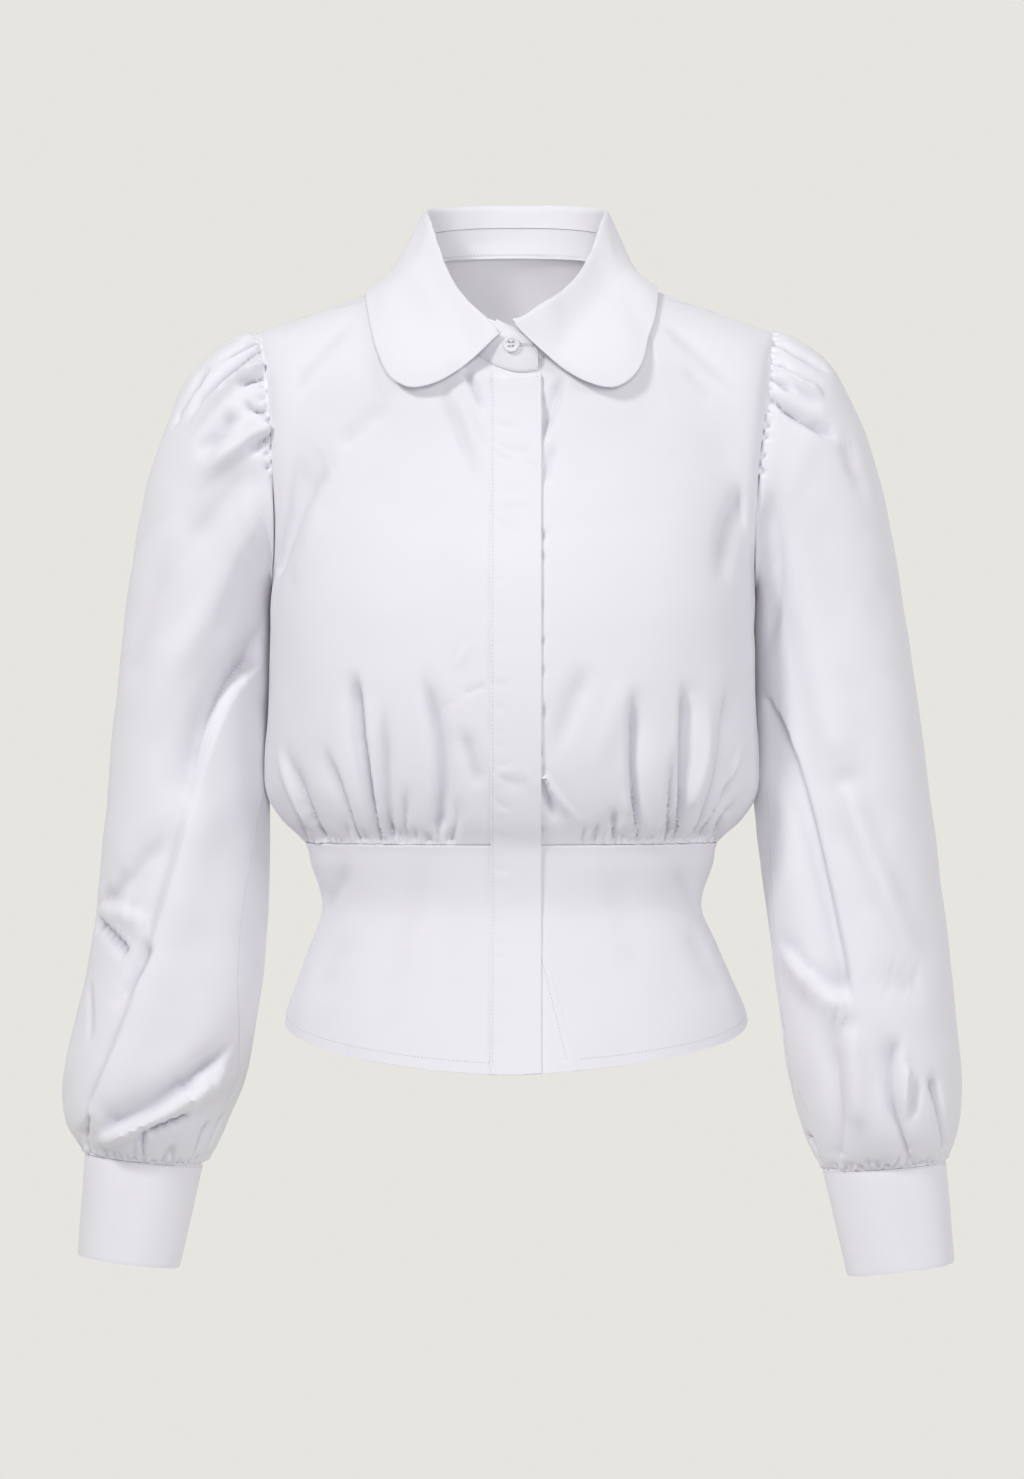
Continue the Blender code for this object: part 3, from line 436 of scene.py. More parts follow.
creaseReach = 10


def creaseDepth(grid, normals, closed):
    # how far each point lies behind the smoothed cloth, in millimetres; it sets the painted crease shade
    calm = grid.copy()
    for _ in range(creaseReach):
        if closed:
            calm = (np.roll(calm, 1, 1) + 2 * calm + np.roll(calm, -1, 1)) / 4
        else:
            calmed(calm.swapaxes(0, 1), 1)
        calmed(calm, 1)
    return ((calm - grid) * normals).sum(-1)


def newItem(name, data):
    item = bpy.data.objects.new(name, data)
    bpy.context.scene.collection.objects.link(item)
    return item


def newMesh(name, points, faces, material):
    # points in millimetres; faces as lists or tuples of point numbers
    mesh = bpy.data.meshes.new(name)
    mesh.from_pydata((points * mm).tolist(), [], faces)
    mesh.update()
    mesh.shade_smooth()
    mesh.materials.append(material)
    return mesh


def clothMesh(name, points, quads, material, grain, crease):
    # grain lays the weave along the cut piece, crease tells how deep each point lies in a fold, which sets
    # the painted crease shade in the cloth's colour
    mesh = newMesh(name, points, quads.tolist(), material)
    uv = mesh.uv_layers.new(name="clothGrain")
    corners = np.zeros(len(mesh.loops), np.int32)
    mesh.loops.foreach_get("vertex_index", corners)
    uv.data.foreach_set("uv", (grain[corners] * mm).ravel().astype(np.float32))
    mesh.attributes.new("crease", "FLOAT", "POINT").data.foreach_set("value", crease.astype(np.float32))
    mesh.set_sharp_from_angle(angle=radians(60))
    return newItem(name, mesh)


def clothShell(name, grid, wall, material, closed=False, out=-1, base=None):
    # a thin wall of cloth: the grid is its outer side; base is the grid before the folds
    normals = gridNormals(grid, closed) * out
    rows, columns = grid.shape[:2]
    inner = grid - normals * wall
    points = np.concatenate([grid.reshape(-1, 3), inner.reshape(-1, 3)])
    shift = rows * columns
    quads = gridQuads(rows, columns, closed)
    lower = (rows - 1) * columns
    first = np.arange(columns)
    if closed:
        loops = [np.append(first, first[:1]), lower + np.append(first, first[:1])[::-1]]
    else:
        down = np.arange(rows) * columns
        loops = [np.concatenate([first, down[1:] + columns - 1,
                                 lower + first[::-1][1:], down[::-1][1:]])]
    rims = [np.stack([loop[1:], loop[:-1], loop[:-1] + shift, loop[1:] + shift], -1) for loop in loops]
    faces = np.concatenate([quads, quads[:, ::-1] + shift] + rims)
    if out < 0:
        faces = faces[:, ::-1]
    flat = grid if base is None else base
    across = lengthsAlong(flat, 1)
    across = across - across[:, columns // 2][:, None]
    grain = np.stack([across, -lengthsAlong(flat, 0)], -1).reshape(-1, 2)
    # depth in the folds alone, for the painted crease shade; the inner side gets none
    crease = creaseDepth(grid, normals, closed)
    crease = crease - creaseDepth(flat, gridNormals(flat, closed) * out, closed)
    crease = np.concatenate([crease.ravel(), 0 * crease.ravel()])
    return clothMesh(name, points, faces, material, np.concatenate([grain, grain]), crease)


def tubeAlong(line, radius, sides=8):
    # a round tube along a line, a little drawn in at both ends; returns points and faces
    line = np.asarray(line, float)
    ahead = unit(np.gradient(line, axis=0))
    helper = np.array([0.0, 0.0, 1.0]) if abs(ahead[0][2]) < 0.9 else np.array([1.0, 0.0, 0.0])
    angle = np.arange(sides) * 2 * pi / sides
    points = []
    side = unit(np.cross(ahead[0], helper))
    for k in range(len(line)):
        side = unit(side - ahead[k] * (side @ ahead[k]))
        up = np.cross(side, ahead[k])
        swell = 0.5 if k in (0, len(line) - 1) else 1.0
        circle = np.cos(angle)[:, None] * side + np.sin(angle)[:, None] * up
        points.append(line[k] + radius * swell * circle)
    faces = []
    for k in range(len(line) - 1):
        for s in range(sides):
            n = (s + 1) % sides
            faces.append((k * sides + s, k * sides + n, (k + 1) * sides + n, (k + 1) * sides + s))
    faces.append(tuple(reversed(range(sides))))
    faces.append(tuple((len(line) - 1) * sides + s for s in range(sides)))
    return np.concatenate(points), faces


def joined(name, parts, material):
    # one item out of many small shapes, each given as points and faces
    points = []
    faces = []
    for found, made in parts:
        shift = sum(len(p) for p in points)
        points.append(found)
        faces.extend(tuple(shift + k for k in face) for face in made)
    return newItem(name, newMesh(name, np.concatenate(points), faces, material))


# ---- materials ----
class Sock:
    # one socket of a shader, so that shader maths reads as plain expressions
    def __init__(self, tree, socket):
        self.tree = tree
        self.socket = socket

    def math(self, operation, other=None, clamp=False):
        node = self.tree.nodes.new("ShaderNodeMath")
        node.operation = operation
        node.use_clamp = clamp
        for slot, value in enumerate((self, other)):
            if isinstance(value, Sock):
                self.tree.links.new(value.socket, node.inputs[slot])
            elif value is not None:
                node.inputs[slot].default_value = value
        return Sock(self.tree, node.outputs[0])

    def __add__(self, other):
        return self.math("ADD", other)

    def __radd__(self, other):
        return self.math("ADD", other)

    def __sub__(self, other):
        return self.math("SUBTRACT", other)

    def __mul__(self, other):
        return self.math("MULTIPLY", other)


class Shader:
    # a material whose nodes are added one call at a time
    def __init__(self, name):
        self.material = bpy.data.materials.new(name)
        self.material.use_nodes = True
        self.tree = self.material.node_tree
        self.base = self.tree.nodes["Principled BSDF"]

    def node(self, kind, settings=None, output=0, **sockets):
        made = self.tree.nodes.new("ShaderNode" + kind)
        for key, value in (settings or {}).items():
            setattr(made, key, value)
        for key, value in sockets.items():
            wanted = key.replace("_", " ")
            socket = next(s for s in made.inputs if s.name == wanted and s.enabled)
            self.put(socket, value)
        if isinstance(output, int):
            return Sock(self.tree, made.outputs[output])
        return Sock(self.tree, next(s for s in made.outputs if s.name == output and s.enabled))

    def put(self, socket, value):
        if isinstance(value, Sock):
            self.tree.links.new(value.socket, socket)
        else:
            socket.default_value = value

    def set(self, **sockets):
        for key, value in sockets.items():
            self.put(self.base.inputs[key.replace("_", " ")], value)
        return self.material

    def mixColor(self, factor, a, b):
        return self.node("Mix", {"data_type": "RGBA"}, "Result", Factor=factor, A=a, B=b)


poplin = {    # thread spacing in metres; noise scales across and along the threads
    # the cloth's own tone, which varies at random between these two whites
    "paleTone": (0.868, 0.857, 0.892), "greyTone": (0.838, 0.826, 0.866),
    # painted shade for the bottoms of creases: a grey, and how much of it each millimetre of depth brings
    "hollow": (0.60, 0.585, 0.64, 1), "hollowShare": 0.32,
    "thread": 0.00030, "warpShare": 0.55,
    "crosswise": (28.0, 1700.0, 1.0), "lengthwise": (1500.0, 22.0, 1.0), "fibre": (2600.0, 2600.0, 1.0),
    "cloud": 14.0, "bump": 0.16, "bumpDepth": 0.0003,
    # how much each part counts: in the weave, in the uneven threads, in the tone and in the relief
    "weaveMix": (0.6, 0.4), "threadMix": (0.6, 0.4), "toneMix": (0.55, 0.35, 0.10),
    "reliefMix": (0.35, 0.5, 0.15),
    "roughness": 0.74, "roughChange": 0.12, "sheen": 0.22, "sheenRoughness": 0.45, "specular": 0.18,
}


def clothMaterial(name, tone=1.0, slubs=1.0, stiff=1.0):
    # fine poplin: ribs across the piece, uneven threads both ways, soft cloudy tone
    made = Shader(name)
    grain = made.node("UVMap", {"uv_map": "clothGrain"})
    across = made.node("SeparateXYZ", None, "X", Vector=grain)
    down = made.node("SeparateXYZ", None, "Y", Vector=grain)
    turn = 2 * pi / poplin["thread"]
    ribs = (down * turn).math("SINE") * 0.5 + 0.5
    warp = (across * (turn * poplin["warpShare"])).math("SINE") * 0.5 + 0.5
    ribWeight, warpWeight = poplin["weaveMix"]
    weave = ribs * ribWeight + warp * warpWeight

    def slub(scale, detail):
        place = made.node("Mapping", Vector=grain, Scale=scale)
        return made.node("TexNoise", None, "Fac", Vector=place, Scale=1.0, Detail=detail, Roughness=0.6)

    crossWeight, longWeight = poplin["threadMix"]
    threads = slub(poplin["crosswise"], 3.0) * crossWeight + slub(poplin["lengthwise"], 3.0) * longWeight
    cloud = made.node("TexNoise", None, "Fac", Vector=grain, Scale=poplin["cloud"], Detail=3.0, Roughness=0.5)
    fibre = slub(poplin["fibre"], 2.0)
    threadTone, cloudTone, fibreTone = poplin["toneMix"]
    mixture = threads * threadTone * slubs + cloud * cloudTone + fibre * fibreTone
    paleTone, greyTone = ((*(min(c * tone, 1.0) for c in poplin[key]), 1) for key in ("paleTone", "greyTone"))
    color = made.mixColor(mixture, paleTone, greyTone)
    # painted shade: the colour turns grey where the cloth lies deep in a crease, for the less light that
    # comes back out of its bottom
    depth = made.node("Attribute", {"attribute_name": "crease"}, "Fac")
    hollow = depth.math("MULTIPLY", poplin["hollowShare"], clamp=True)
    color = made.mixColor(hollow, color, poplin["hollow"])
    weaveRise, threadRise, fibreRise = poplin["reliefMix"]
    height = weave * weaveRise + threads * threadRise * slubs + fibre * fibreRise
    bump = made.node("Bump", None, "Normal", Height=height, Strength=poplin["bump"] * stiff,
                     Distance=poplin["bumpDepth"])
    rough = poplin["roughness"] + (threads - 0.5) * poplin["roughChange"]
    return made.set(Base_Color=color, Roughness=rough, Normal=bump, Sheen_Weight=poplin["sheen"],
                    Sheen_Roughness=poplin["sheenRoughness"], Specular_IOR_Level=poplin["specular"])


cloth = clothMaterial("poplin")
bandCloth = clothMaterial("poplinBand", tone=1.004, slubs=0.8, stiff=0.8)


# painted shade: the thread is grey, darker than the white cloth, for the shadows of the stitch holes and of
# the seams' ditches; the buttons' threads and the buttonhole take it too
threadWithPaintedShade = {    # twist and cloud are scales of noise, bumpDepth is in metres
    "low": (0.58, 0.575, 0.62, 1), "high": (0.72, 0.71, 0.75, 1),
    "twist": 2200.0, "bump": 0.3, "bumpDepth": 0.0001, "roughness": 0.5, "sheen": 0.2,
}
buttonLook = {
    "low": (0.80, 0.79, 0.835, 1), "high": (0.86, 0.855, 0.885, 1),
    "cloud": 300.0, "bump": 0.05, "bumpDepth": 0.0002, "roughness": 0.26, "roughChange": 0.12,
    "coat": 0.35, "coatRoughness": 0.15,
}


def paintedShadeThreadMaterial():
    # grey thread whose darkness is painted shade
    made = Shader("threadPaintedShade")
    place = made.node("TexCoord", None, "Object")
    twist = made.node("TexNoise", None, "Fac", Vector=place, Scale=threadWithPaintedShade["twist"], Detail=2.0)
    color = made.mixColor(twist, threadWithPaintedShade["low"], threadWithPaintedShade["high"])
    bump = made.node("Bump", None, "Normal", Height=twist, Strength=threadWithPaintedShade["bump"],
                     Distance=threadWithPaintedShade["bumpDepth"])
    return made.set(Base_Color=color, Roughness=threadWithPaintedShade["roughness"], Normal=bump,
                    Sheen_Weight=threadWithPaintedShade["sheen"])


thread = paintedShadeThreadMaterial()


def buttonMaterial():
    made = Shader("buttonWhite")
    place = made.node("TexCoord", None, "Object")
    cloud = made.node("TexNoise", None, "Fac", Vector=place, Scale=buttonLook["cloud"], Detail=3.0)
    color = made.mixColor(cloud, buttonLook["low"], buttonLook["high"])
    rough = buttonLook["roughness"] + cloud * buttonLook["roughChange"]
    bump = made.node("Bump", None, "Normal", Height=cloud, Strength=buttonLook["bump"],
                     Distance=buttonLook["bumpDepth"])
    return made.set(Base_Color=color, Roughness=rough, Normal=bump, Coat_Weight=buttonLook["coat"],
                    Coat_Roughness=buttonLook["coatRoughness"])


buttonFinish = buttonMaterial()
print("materials made")


def finishPiece(item, nodes):
    # every piece rides with the blouse; nodes are the solids it stands for
    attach(item, "root")
    if nodes:
        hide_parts(*nodes)


# ---- stitches ----
stitch = {
    "pitch": 2.7, "length": 1.9, "radius": 0.24, "sides": 5, "sunk": 0.1,
    "shares": (-1.0, -0.8, -0.3, 0.3, 0.8, 1.0), "swell": (0.35, 0.85, 1.0, 1.0, 0.85, 0.35),
}


def stitchRun(line, normals):
    # short threads lying along a line on the cloth; returns points and faces
    length = np.concatenate([[0], np.cumsum(np.linalg.norm(np.diff(line, axis=0), axis=1))])
    places = np.arange(stitch["pitch"] / 2, length[-1], stitch["pitch"])
    half = stitch["length"] / 2
    shares = np.array(stitch["shares"])
    points = []
    faces = []
    sides = stitch["sides"]
    angle = np.arange(sides) * 2 * pi / sides

    def read(rows, at):
        return np.stack([np.interp(at, length, rows[:, k]) for k in range(3)], -1)

    for place in places:
        at = np.clip(place + shares * half, 0, length[-1])
        spine = read(line, at)
        up = unit(read(normals, at))
        ahead = unit(spine[-1] - spine[0] + 1e-9)
        side = unit(np.cross(up, ahead))
        height = stitch["radius"] * (0.9 - 1.5 * np.abs(shares) ** 3) - stitch["sunk"]
        spine = spine + up * height[:, None]
        start = len(points) * sides
        for k in range(len(shares)):
            r = stitch["radius"] * stitch["swell"][k]
            points.append(spine[k] + r * (np.cos(angle)[:, None] * side[k] + np.sin(angle)[:, None] * up[k]))
        for k in range(len(shares) - 1):
            for s in range(sides):
                n = (s + 1) % sides
                a = start + k * sides
                faces.append((a + s, a + n, a + sides + n, a + sides + s))
        faces.append(tuple(start + s for s in reversed(range(sides))))
        faces.append(tuple(start + (len(shares) - 1) * sides + s for s in range(sides)))
    return np.concatenate(points), faces


def stitchPiece(name, runs):
    item = joined(name, [stitchRun(line, normals) for line, normals in runs], thread)
    finishPiece(item, [])


# ---- the fronts and the back ----
bodice = {
    "columns": 134, "rows": 142, "backColumns": 76, "seed": 7,
    "fine": (0.0035, 0.0085, 0.015), "besideBand": (0.0135, 0.018, 0.0205),
    "deep": 1.85, "ripple": 0.35, "calmTop": 12.0, "calmLow": 2.0,
    "seamDip": 0.4, "seamWide": 0.7, "groove": 0.45, "grooveIn": 4.4, "grooveWide": 0.75,
    "underarmPasses": 70, "underarmWide": 0.13,
}
waistGather = {    # heights, depths and widths are drawn between two sizes
    "foot": -388.0, "fan": 0.22, "lean": (-0.08, 0.08), "shortShare": 0.6, "short": (6, 13), "tall": (14, 30),
    "depth": (0.9, 1.7), "width": (1.4, 2.2), "otherWidth": (0.8, 1.3),
}
edgeDip = {"x": 15.0, "top": -150.0, "span": 230.0, "length": (4, 9), "drop": (-4, 9),
           "width": (2.0, 4.0), "depth": (0.7, 1.6)}

rightFrontFolds = [
    # long folds that fan up from the waist seam
    Fold(-95, -387, -105.5, -330, -113.5, -263, -5.4, 6.5, 2.2, 0.0, 0.18),
    Fold(-93.3, -387, -102, -325, -109, -276, 1.5, 2.2, 7.0, 0.0, 0.4),
    Fold(-133.7, -388, -151.5, -352, -163, -312, -3.6, 2.8, 8.0, 0.0, 0.5),
    Fold(-137.5, -388, -156, -352, -168, -314, 1.8, 6.0, 2.4, 0.0, 0.4),
    Fold(-110, -387, -123.5, -349, -137, -314, -3.2, 6.0, 2.2, 0.0, 0.45),
    Fold(-87, -386, -91.5, -340, -92.5, -284, -2.4, 4.5, 5.0, 0.05, 0.4),
    Fold(-77.1, -388, -78, -363, -75, -342, -2.0, 3.0, 3.4, 0.0, 0.6),
    Fold(-55, -384, -52.5, -325, -68, -262, -3.4, 5.5, 6.0, 0.12, 0.3),
    Fold(-24, -352, -31, -328, -39, -303, -1.8, 6.0, 6.0, 0.35, 0.35),
    Fold(-45, -386, -42, -368, -44, -350, -1.6, 3.0, 4.0, 0.0, 0.5),
    # faint creases across the front
    Fold(-54, -293, -48, -290.5, -42, -288, -0.5, 1.8, 1.8, 0.2, 0.3),
    Fold(-38, -283, -30, -279.5, -21, -275.5, -0.6, 1.8, 1.8, 0.2, 0.1),
    Fold(-44, -266, -37, -255, -30, -244, 0.5, 2.0, 2.0, 0.3, 0.3),
    # drag lines under the collar and beside the closing
    Fold(-38, -52, -27, -72, -22.5, -88, -2.6, 2.6, 2.6, 0.2, 0.5),
    Fold(-56, -60, -38, -105, -23, -147, -1.5, 5.0, 5.0, 0.3, 0.5),
    Fold(-46, -64, -31, -100, -20, -136, 1.1, 4.0, 4.0, 0.3, 0.5),
    # soft hollows from the front of the shoulder down to the armhole
    Fold(-109, -14, -138, -48, -163, -82, -1.3, 7.0, 7.0, 0.35, 0.4),
    Fold(-88, -70, -109, -93, -132, -116, -1.1, 8.0, 8.0, 0.35, 0.4),
    Fold(-122, -110, -151, -150, -168, -206, -3.4, 8.0, 14.0, 0.4, 0.15),
    Fold(-136, -146, -146, -178, -158, -204, 1.0, 9.0, 7.0, 0.35, 0.3),
]
leftFrontFolds = [
    Fold(85.6, -387, 82, -335, 83.5, -272, -4.2, 2.6, 7.5, 0.0, 0.3),
    Fold(86, -387, 80, -367, 74.5, -348, 1.5, 2.5, 1.8, 0.0, 0.5),
    Fold(112.5, -387, 117.5, -335, 118, -270, -5.0, 2.4, 7.5, 0.0, 0.22),
    Fold(106.6, -387, 109.7, -349, 112.5, -314, -3.2, 2.6, 3.2, 0.0, 0.5),
    Fold(117, -368, 133, -330, 133, -278, 1.4, 4.0, 6.0, 0.2, 0.4),
    Fold(123, -387, 144, -330, 147, -272, -4.4, 3.6, 9.0, 0.0, 0.25),
    Fold(128.2, -387, 143.6, -357, 153, -336, -3.8, 2.0, 4.5, 0.0, 0.5),
    Fold(131, -382, 148, -345, 161, -312, 2.0, 2.5, 3.4, 0.2, 0.4),
    Fold(135.4, -387, 146, -369, 158, -353, -2.2, 2.2, 4.0, 0.0, 0.5),
    Fold(69.5, -388, 68.8, -374, 68.3, -360, -2.2, 2.6, 2.6, 0.0, 0.5),
    Fold(53, -258, 38, -292, 23, -337, -1.8, 8.0, 8.0, 0.35, 0.4),
    Fold(79, -262, 66, -304, 50, -342, 1.0, 9.0, 9.0, 0.35, 0.4),
    Fold(19, -340, 30, -356, 50, -379, 1.7, 2.2, 3.0, 0.05, 0.5),
    Fold(17, -344, 23, -358, 30, -374, -2.6, 3.0, 3.0, 0.05, 0.5),
    # drag lines beside the closing and under the collar
    Fold(35, -58, 24, -84, 18, -106, -2.2, 3.6, 4.0, 0.25, 0.4),
    Fold(29, -104, 23, -122, 20, -140, -1.3, 4.0, 4.0, 0.3, 0.4),
    Fold(17, -72, 20, -88, 18, -112, -1.6, 2.4, 3.0, 0.1, 0.4),
    # soft hollows by the armhole
    Fold(98, -18, 130, -48, 155, -78, -1.2, 6.0, 6.0, 0.35, 0.4),
    Fold(115, -49, 128, -66, 141, -84, -0.8, 6.0, 6.0, 0.35, 0.4),
    Fold(166, -142, 150, -168, 143, -215, -2.8, 11.0, 9.0, 0.15, 0.4),
]


def edgeDips(random, count):
    # uneven small dips where the left front shows beside the free edge of the band
    folds = []
    for k in range(count):
        x = edgeDip["x"]
        z = edgeDip["top"] - edgeDip["span"] * (k + random.uniform(0.1, 0.9)) / count
        long = random.uniform(*edgeDip["length"])
        drop = random.uniform(*edgeDip["drop"])
        wide = random.uniform(*edgeDip["width"])
        lift = -random.uniform(*edgeDip["depth"])
        folds.append(Fold(x, z, x + long / 2, z - drop / 2, x + long, z - drop, lift,
                          wide, wide * 1.3, 0.0, 0.7))
    return folds


backFolds = [
    Fold(-112, -388, -122, -340, -130, -274, -4.2, 3.0, 9.0, 0.0, 0.4),
    Fold(-88, -388, -92, -338, -96, -262, -3.8, 8.0, 3.0, 0.0, 0.4),
    Fold(-62, -388, -60, -340, -64, -284, -2.8, 6.0, 4.0, 0.0, 0.5),
    Fold(-34, -388, -30, -350, -33, -300, -2.6, 4.0, 7.0, 0.0, 0.5),
    Fold(-8, -388, -6, -346, -9, -284, -3.4, 8.0, 3.0, 0.0, 0.4),
    Fold(20, -388, 22, -350, 19, -306, -2.4, 5.0, 4.0, 0.0, 0.5),
    Fold(44, -388, 48, -344, 50, -270, -3.6, 3.0, 8.0, 0.0, 0.4),
    Fold(70, -388, 76, -342, 82, -290, -3.0, 7.0, 4.0, 0.0, 0.5),
    Fold(96, -388, 106, -344, 114, -266, -4.2, 9.0, 3.0, 0.0, 0.4),
    Fold(120, -388, 132, -350, 144, -302, -3.2, 3.0, 7.0, 0.0, 0.5),
    Fold(-150, -112, -124, -156, -88, -190, -2.0, 20.0, 20.0, 0.5, 0.5),
    Fold(148, -114, 124, -156, 92, -186, -1.8, 20.0, 20.0, 0.5, 0.5),
    Fold(-96, -28, -48, -66, 10, -78, -1.3, 18.0, 18.0, 0.5, 0.5),
    Fold(90, -28, 46, -64, -10, -82, -1.2, 18.0, 18.0, 0.5, 0.5),
]


def waistGathers(random, fromX, toX, count):
    # small uneven gathers that rise from the waist seam and lean away from the middle
    folds = []
    edges = np.linspace(fromX, toX, count + 1)
    foot = waistGather["foot"]
    for k in range(count):
        x = edges[k] + (edges[k + 1] - edges[k]) * random.uniform(0.15, 0.85)
        isShort = random.random() < waistGather["shortShare"]
        tall = random.uniform(*waistGather["short" if isShort else "tall"])
        slope = waistGather["fan"] * x / 100 + random.uniform(*waistGather["lean"])
        lift = -random.uniform(*waistGather["depth"]) * (0.8 + tall / 40)
        wide = random.uniform(*waistGather["width"]) + tall * 0.03
        otherWide = wide * random.uniform(*waistGather["otherWidth"])
        folds.append(Fold(x, foot, x + slope * tall * 0.5, foot + tall * 0.5, x + slope * tall,
                          foot + tall, lift, wide, otherWide, 0.0, 0.8))
    return folds


def seamDip(grid, sides):
    # the cloth turns down into a seam along the named sides of the grid
    far = dict(zip(("top", "bottom", "start", "end"), fromEnds(grid, 0) + fromEnds(grid, 1)))
    shift = np.zeros(grid.shape[:2])
    for side in sides:
        shift -= bodice["seamDip"] * bell(far[side], bodice["seamWide"])
    return shift


def softened(grid, levels, shares):
    # eases the rows about the underarm level, where the two halves of the form meet
    weight = bell(levels - 1, bodice["underarmWide"])[:, None] * (1 - shares ** 12)[None]
    for _ in range(bodice["underarmPasses"]):
        even = (grid[:-2] + 2 * grid[1:-1] + grid[2:]) / 4
        grid[1:-1] = lerp(grid[1:-1], even, weight[1:-1, :, None])
    return grid


def halfGrid(side, face, pointAt, edgeAt, levels, shares):
    level = levels[:, None]
    grid = softened(pointAt(side, face, shares[None], level, edgeAt(level)), levels, shares)
    return grid if side > 0 else grid[:, ::-1]


def wholeGrid(pointAt, levels, shares):
    left = softened(pointAt(1, -1, shares[None], levels[:, None], 0.0), levels, shares)
    right = softened(pointAt(-1, -1, shares[None], levels[:, None], 0.0), levels, shares)
    return np.concatenate([left[:, ::-1], right[:, 1:]], 1)


def rightEdge(level):
    return -body["frontEdge"] + 0 * level


def leftEdge(level):
    return underEdge(level) + 1


def besideBand(base, name):
    # the right front sinks a little along the stitched edge of the band
    if not name.startswith("right"):
        return 0.0
    fromEdge = fromEnds(base, 1)[1]
    return -bodice["groove"] * bell(fromEdge - bodice["grooveIn"], bodice["grooveWide"])


def finishBodice(name, base, shift, seams, wall):
    # sinks the seams, makes the piece and returns its outer side
    grid = movedOut(base, shift + seamDip(base, seams) + besideBand(base, name))
    item = clothShell(name + "Cloth", tucked(grid, seams), wall, cloth, base=tucked(base, seams))
    finishPiece(item, [name])
    return grid


def makeBodice():
    random = np.random.default_rng(bodice["seed"])
    shares = np.union1d(spaced(bodice["columns"], bodice["fine"], near=False), bodice["besideBand"])
    atSide = smooth((shares - 0.88) / 0.08)[None]
    backShares = spaced(bodice["backColumns"], bodice["fine"], near=False)
    levels = 2 * spaced(bodice["rows"], [share / 2 for share in bodice["fine"]])
    rightFine = waistGathers(random, -148, -42, 22)
    leftFine = waistGathers(random, 44, 142, 20) + edgeDips(random, 9)
    backFine = waistGathers(random, -138, 138, 44)
    plan = [
        ("right_front", halfGrid(-1, 1, bodicePoint, rightEdge, levels, shares),
         rightFrontFolds + rightFine, 1, ("top", "bottom", "start")),
        ("left_front", halfGrid(1, 1, bodicePoint, leftEdge, levels, shares),
         leftFrontFolds + leftFine, 1, ("top", "bottom", "end")),
        ("back", wholeGrid(bodicePoint, levels, backShares),
         backFolds + backFine, -1, ("top", "bottom", "start", "end")),
    ]
    made = {}
    for name, base, folds, face, seams in plan:
        shift = pressFolds(base, folds, face) * bodice["deep"]
        shift = shift + ripple(base, bodice["seed"] + len(name), bodice["ripple"])
        fromTop, fromLow = fromEnds(base, 0)
        shift = shift * smooth(fromTop / bodice["calmTop"]) * smooth(fromLow / bodice["calmLow"] + 0.55)
        if face > 0:
            # along the side seam the cloth keeps its place beside the sleeve
            side = atSide if name == "left_front" else atSide[:, ::-1]
            shift = lerp(shift, np.maximum(shift, -0.3), side)
        made[name] = finishBodice(name, base, shift, seams, body["wall"])
    return made


bodyGrids = makeBodice()
print("fronts and back made")

# ---- the waist panels ----
waist = {
    "columns": 66, "rows": 60, "besideBand": (0.0155, 0.0185, 0.0205, 0.0235),
    "deep": 1.5, "ripple": 0.3, "wall": 0.75,
}
rightWaistFolds = [
    Fold(-135, -436, -126, -418, -114, -396, -1.6, 8.0, 8.0, 0.3, 0.4),
    Fold(-140, -500, -128, -470, -112, -440, -1.2, 14.0, 14.0, 0.4, 0.4),
    Fold(-60, -400, -74, -440, -88, -500, -0.8, 14.0, 14.0, 0.4, 0.3),
]
leftWaistFolds = [
    Fold(128, -436, 118, -418, 108, -398, -1.4, 8.0, 8.0, 0.3, 0.4),
    Fold(146, -500, 132, -470, 116, -444, -1.2, 14.0, 14.0, 0.4, 0.4),
    Fold(60, -400, 72, -440, 84, -500, -0.8, 14.0, 14.0, 0.4, 0.3),
]
backWaistFolds = [
    Fold(-100, -400, -104, -440, -112, -500, -1.6, 12.0, 12.0, 0.3, 0.2),
    Fold(-30, -400, -34, -440, -40, -510, -1.4, 13.0, 13.0, 0.3, 0.2),
    Fold(40, -400, 44, -440, 50, -508, -1.5, 13.0, 13.0, 0.3, 0.2),
    Fold(104, -400, 108, -440, 114, -500, -1.6, 12.0, 12.0, 0.3, 0.2),
]


def makeWaist():
    shares = np.union1d(spaced(waist["columns"], bodice["fine"], near=False), waist["besideBand"])
    levels = 2 + spaced(waist["rows"], bodice["fine"])
    plan = [
        ("right_waist_panel", halfGrid(-1, 1, waistPoint, rightEdge, levels, shares), rightWaistFolds, 1,
         ("top", "start")),
        ("left_waist_panel", halfGrid(1, 1, waistPoint, leftEdge, levels, shares), leftWaistFolds, 1,
         ("top", "end")),
        ("back_waist_panel", wholeGrid(waistPoint, levels, shares), backWaistFolds, -1,
         ("top", "start", "end")),
    ]
    made = {}
    for name, base, folds, face, seams in plan:
        shift = pressFolds(base, folds, face) * waist["deep"] + ripple(base, len(name), waist["ripple"])
        made[name] = finishBodice(name, base, shift, seams, waist["wall"])
    return made


waistGrids = makeWaist()
print("waist panels made")

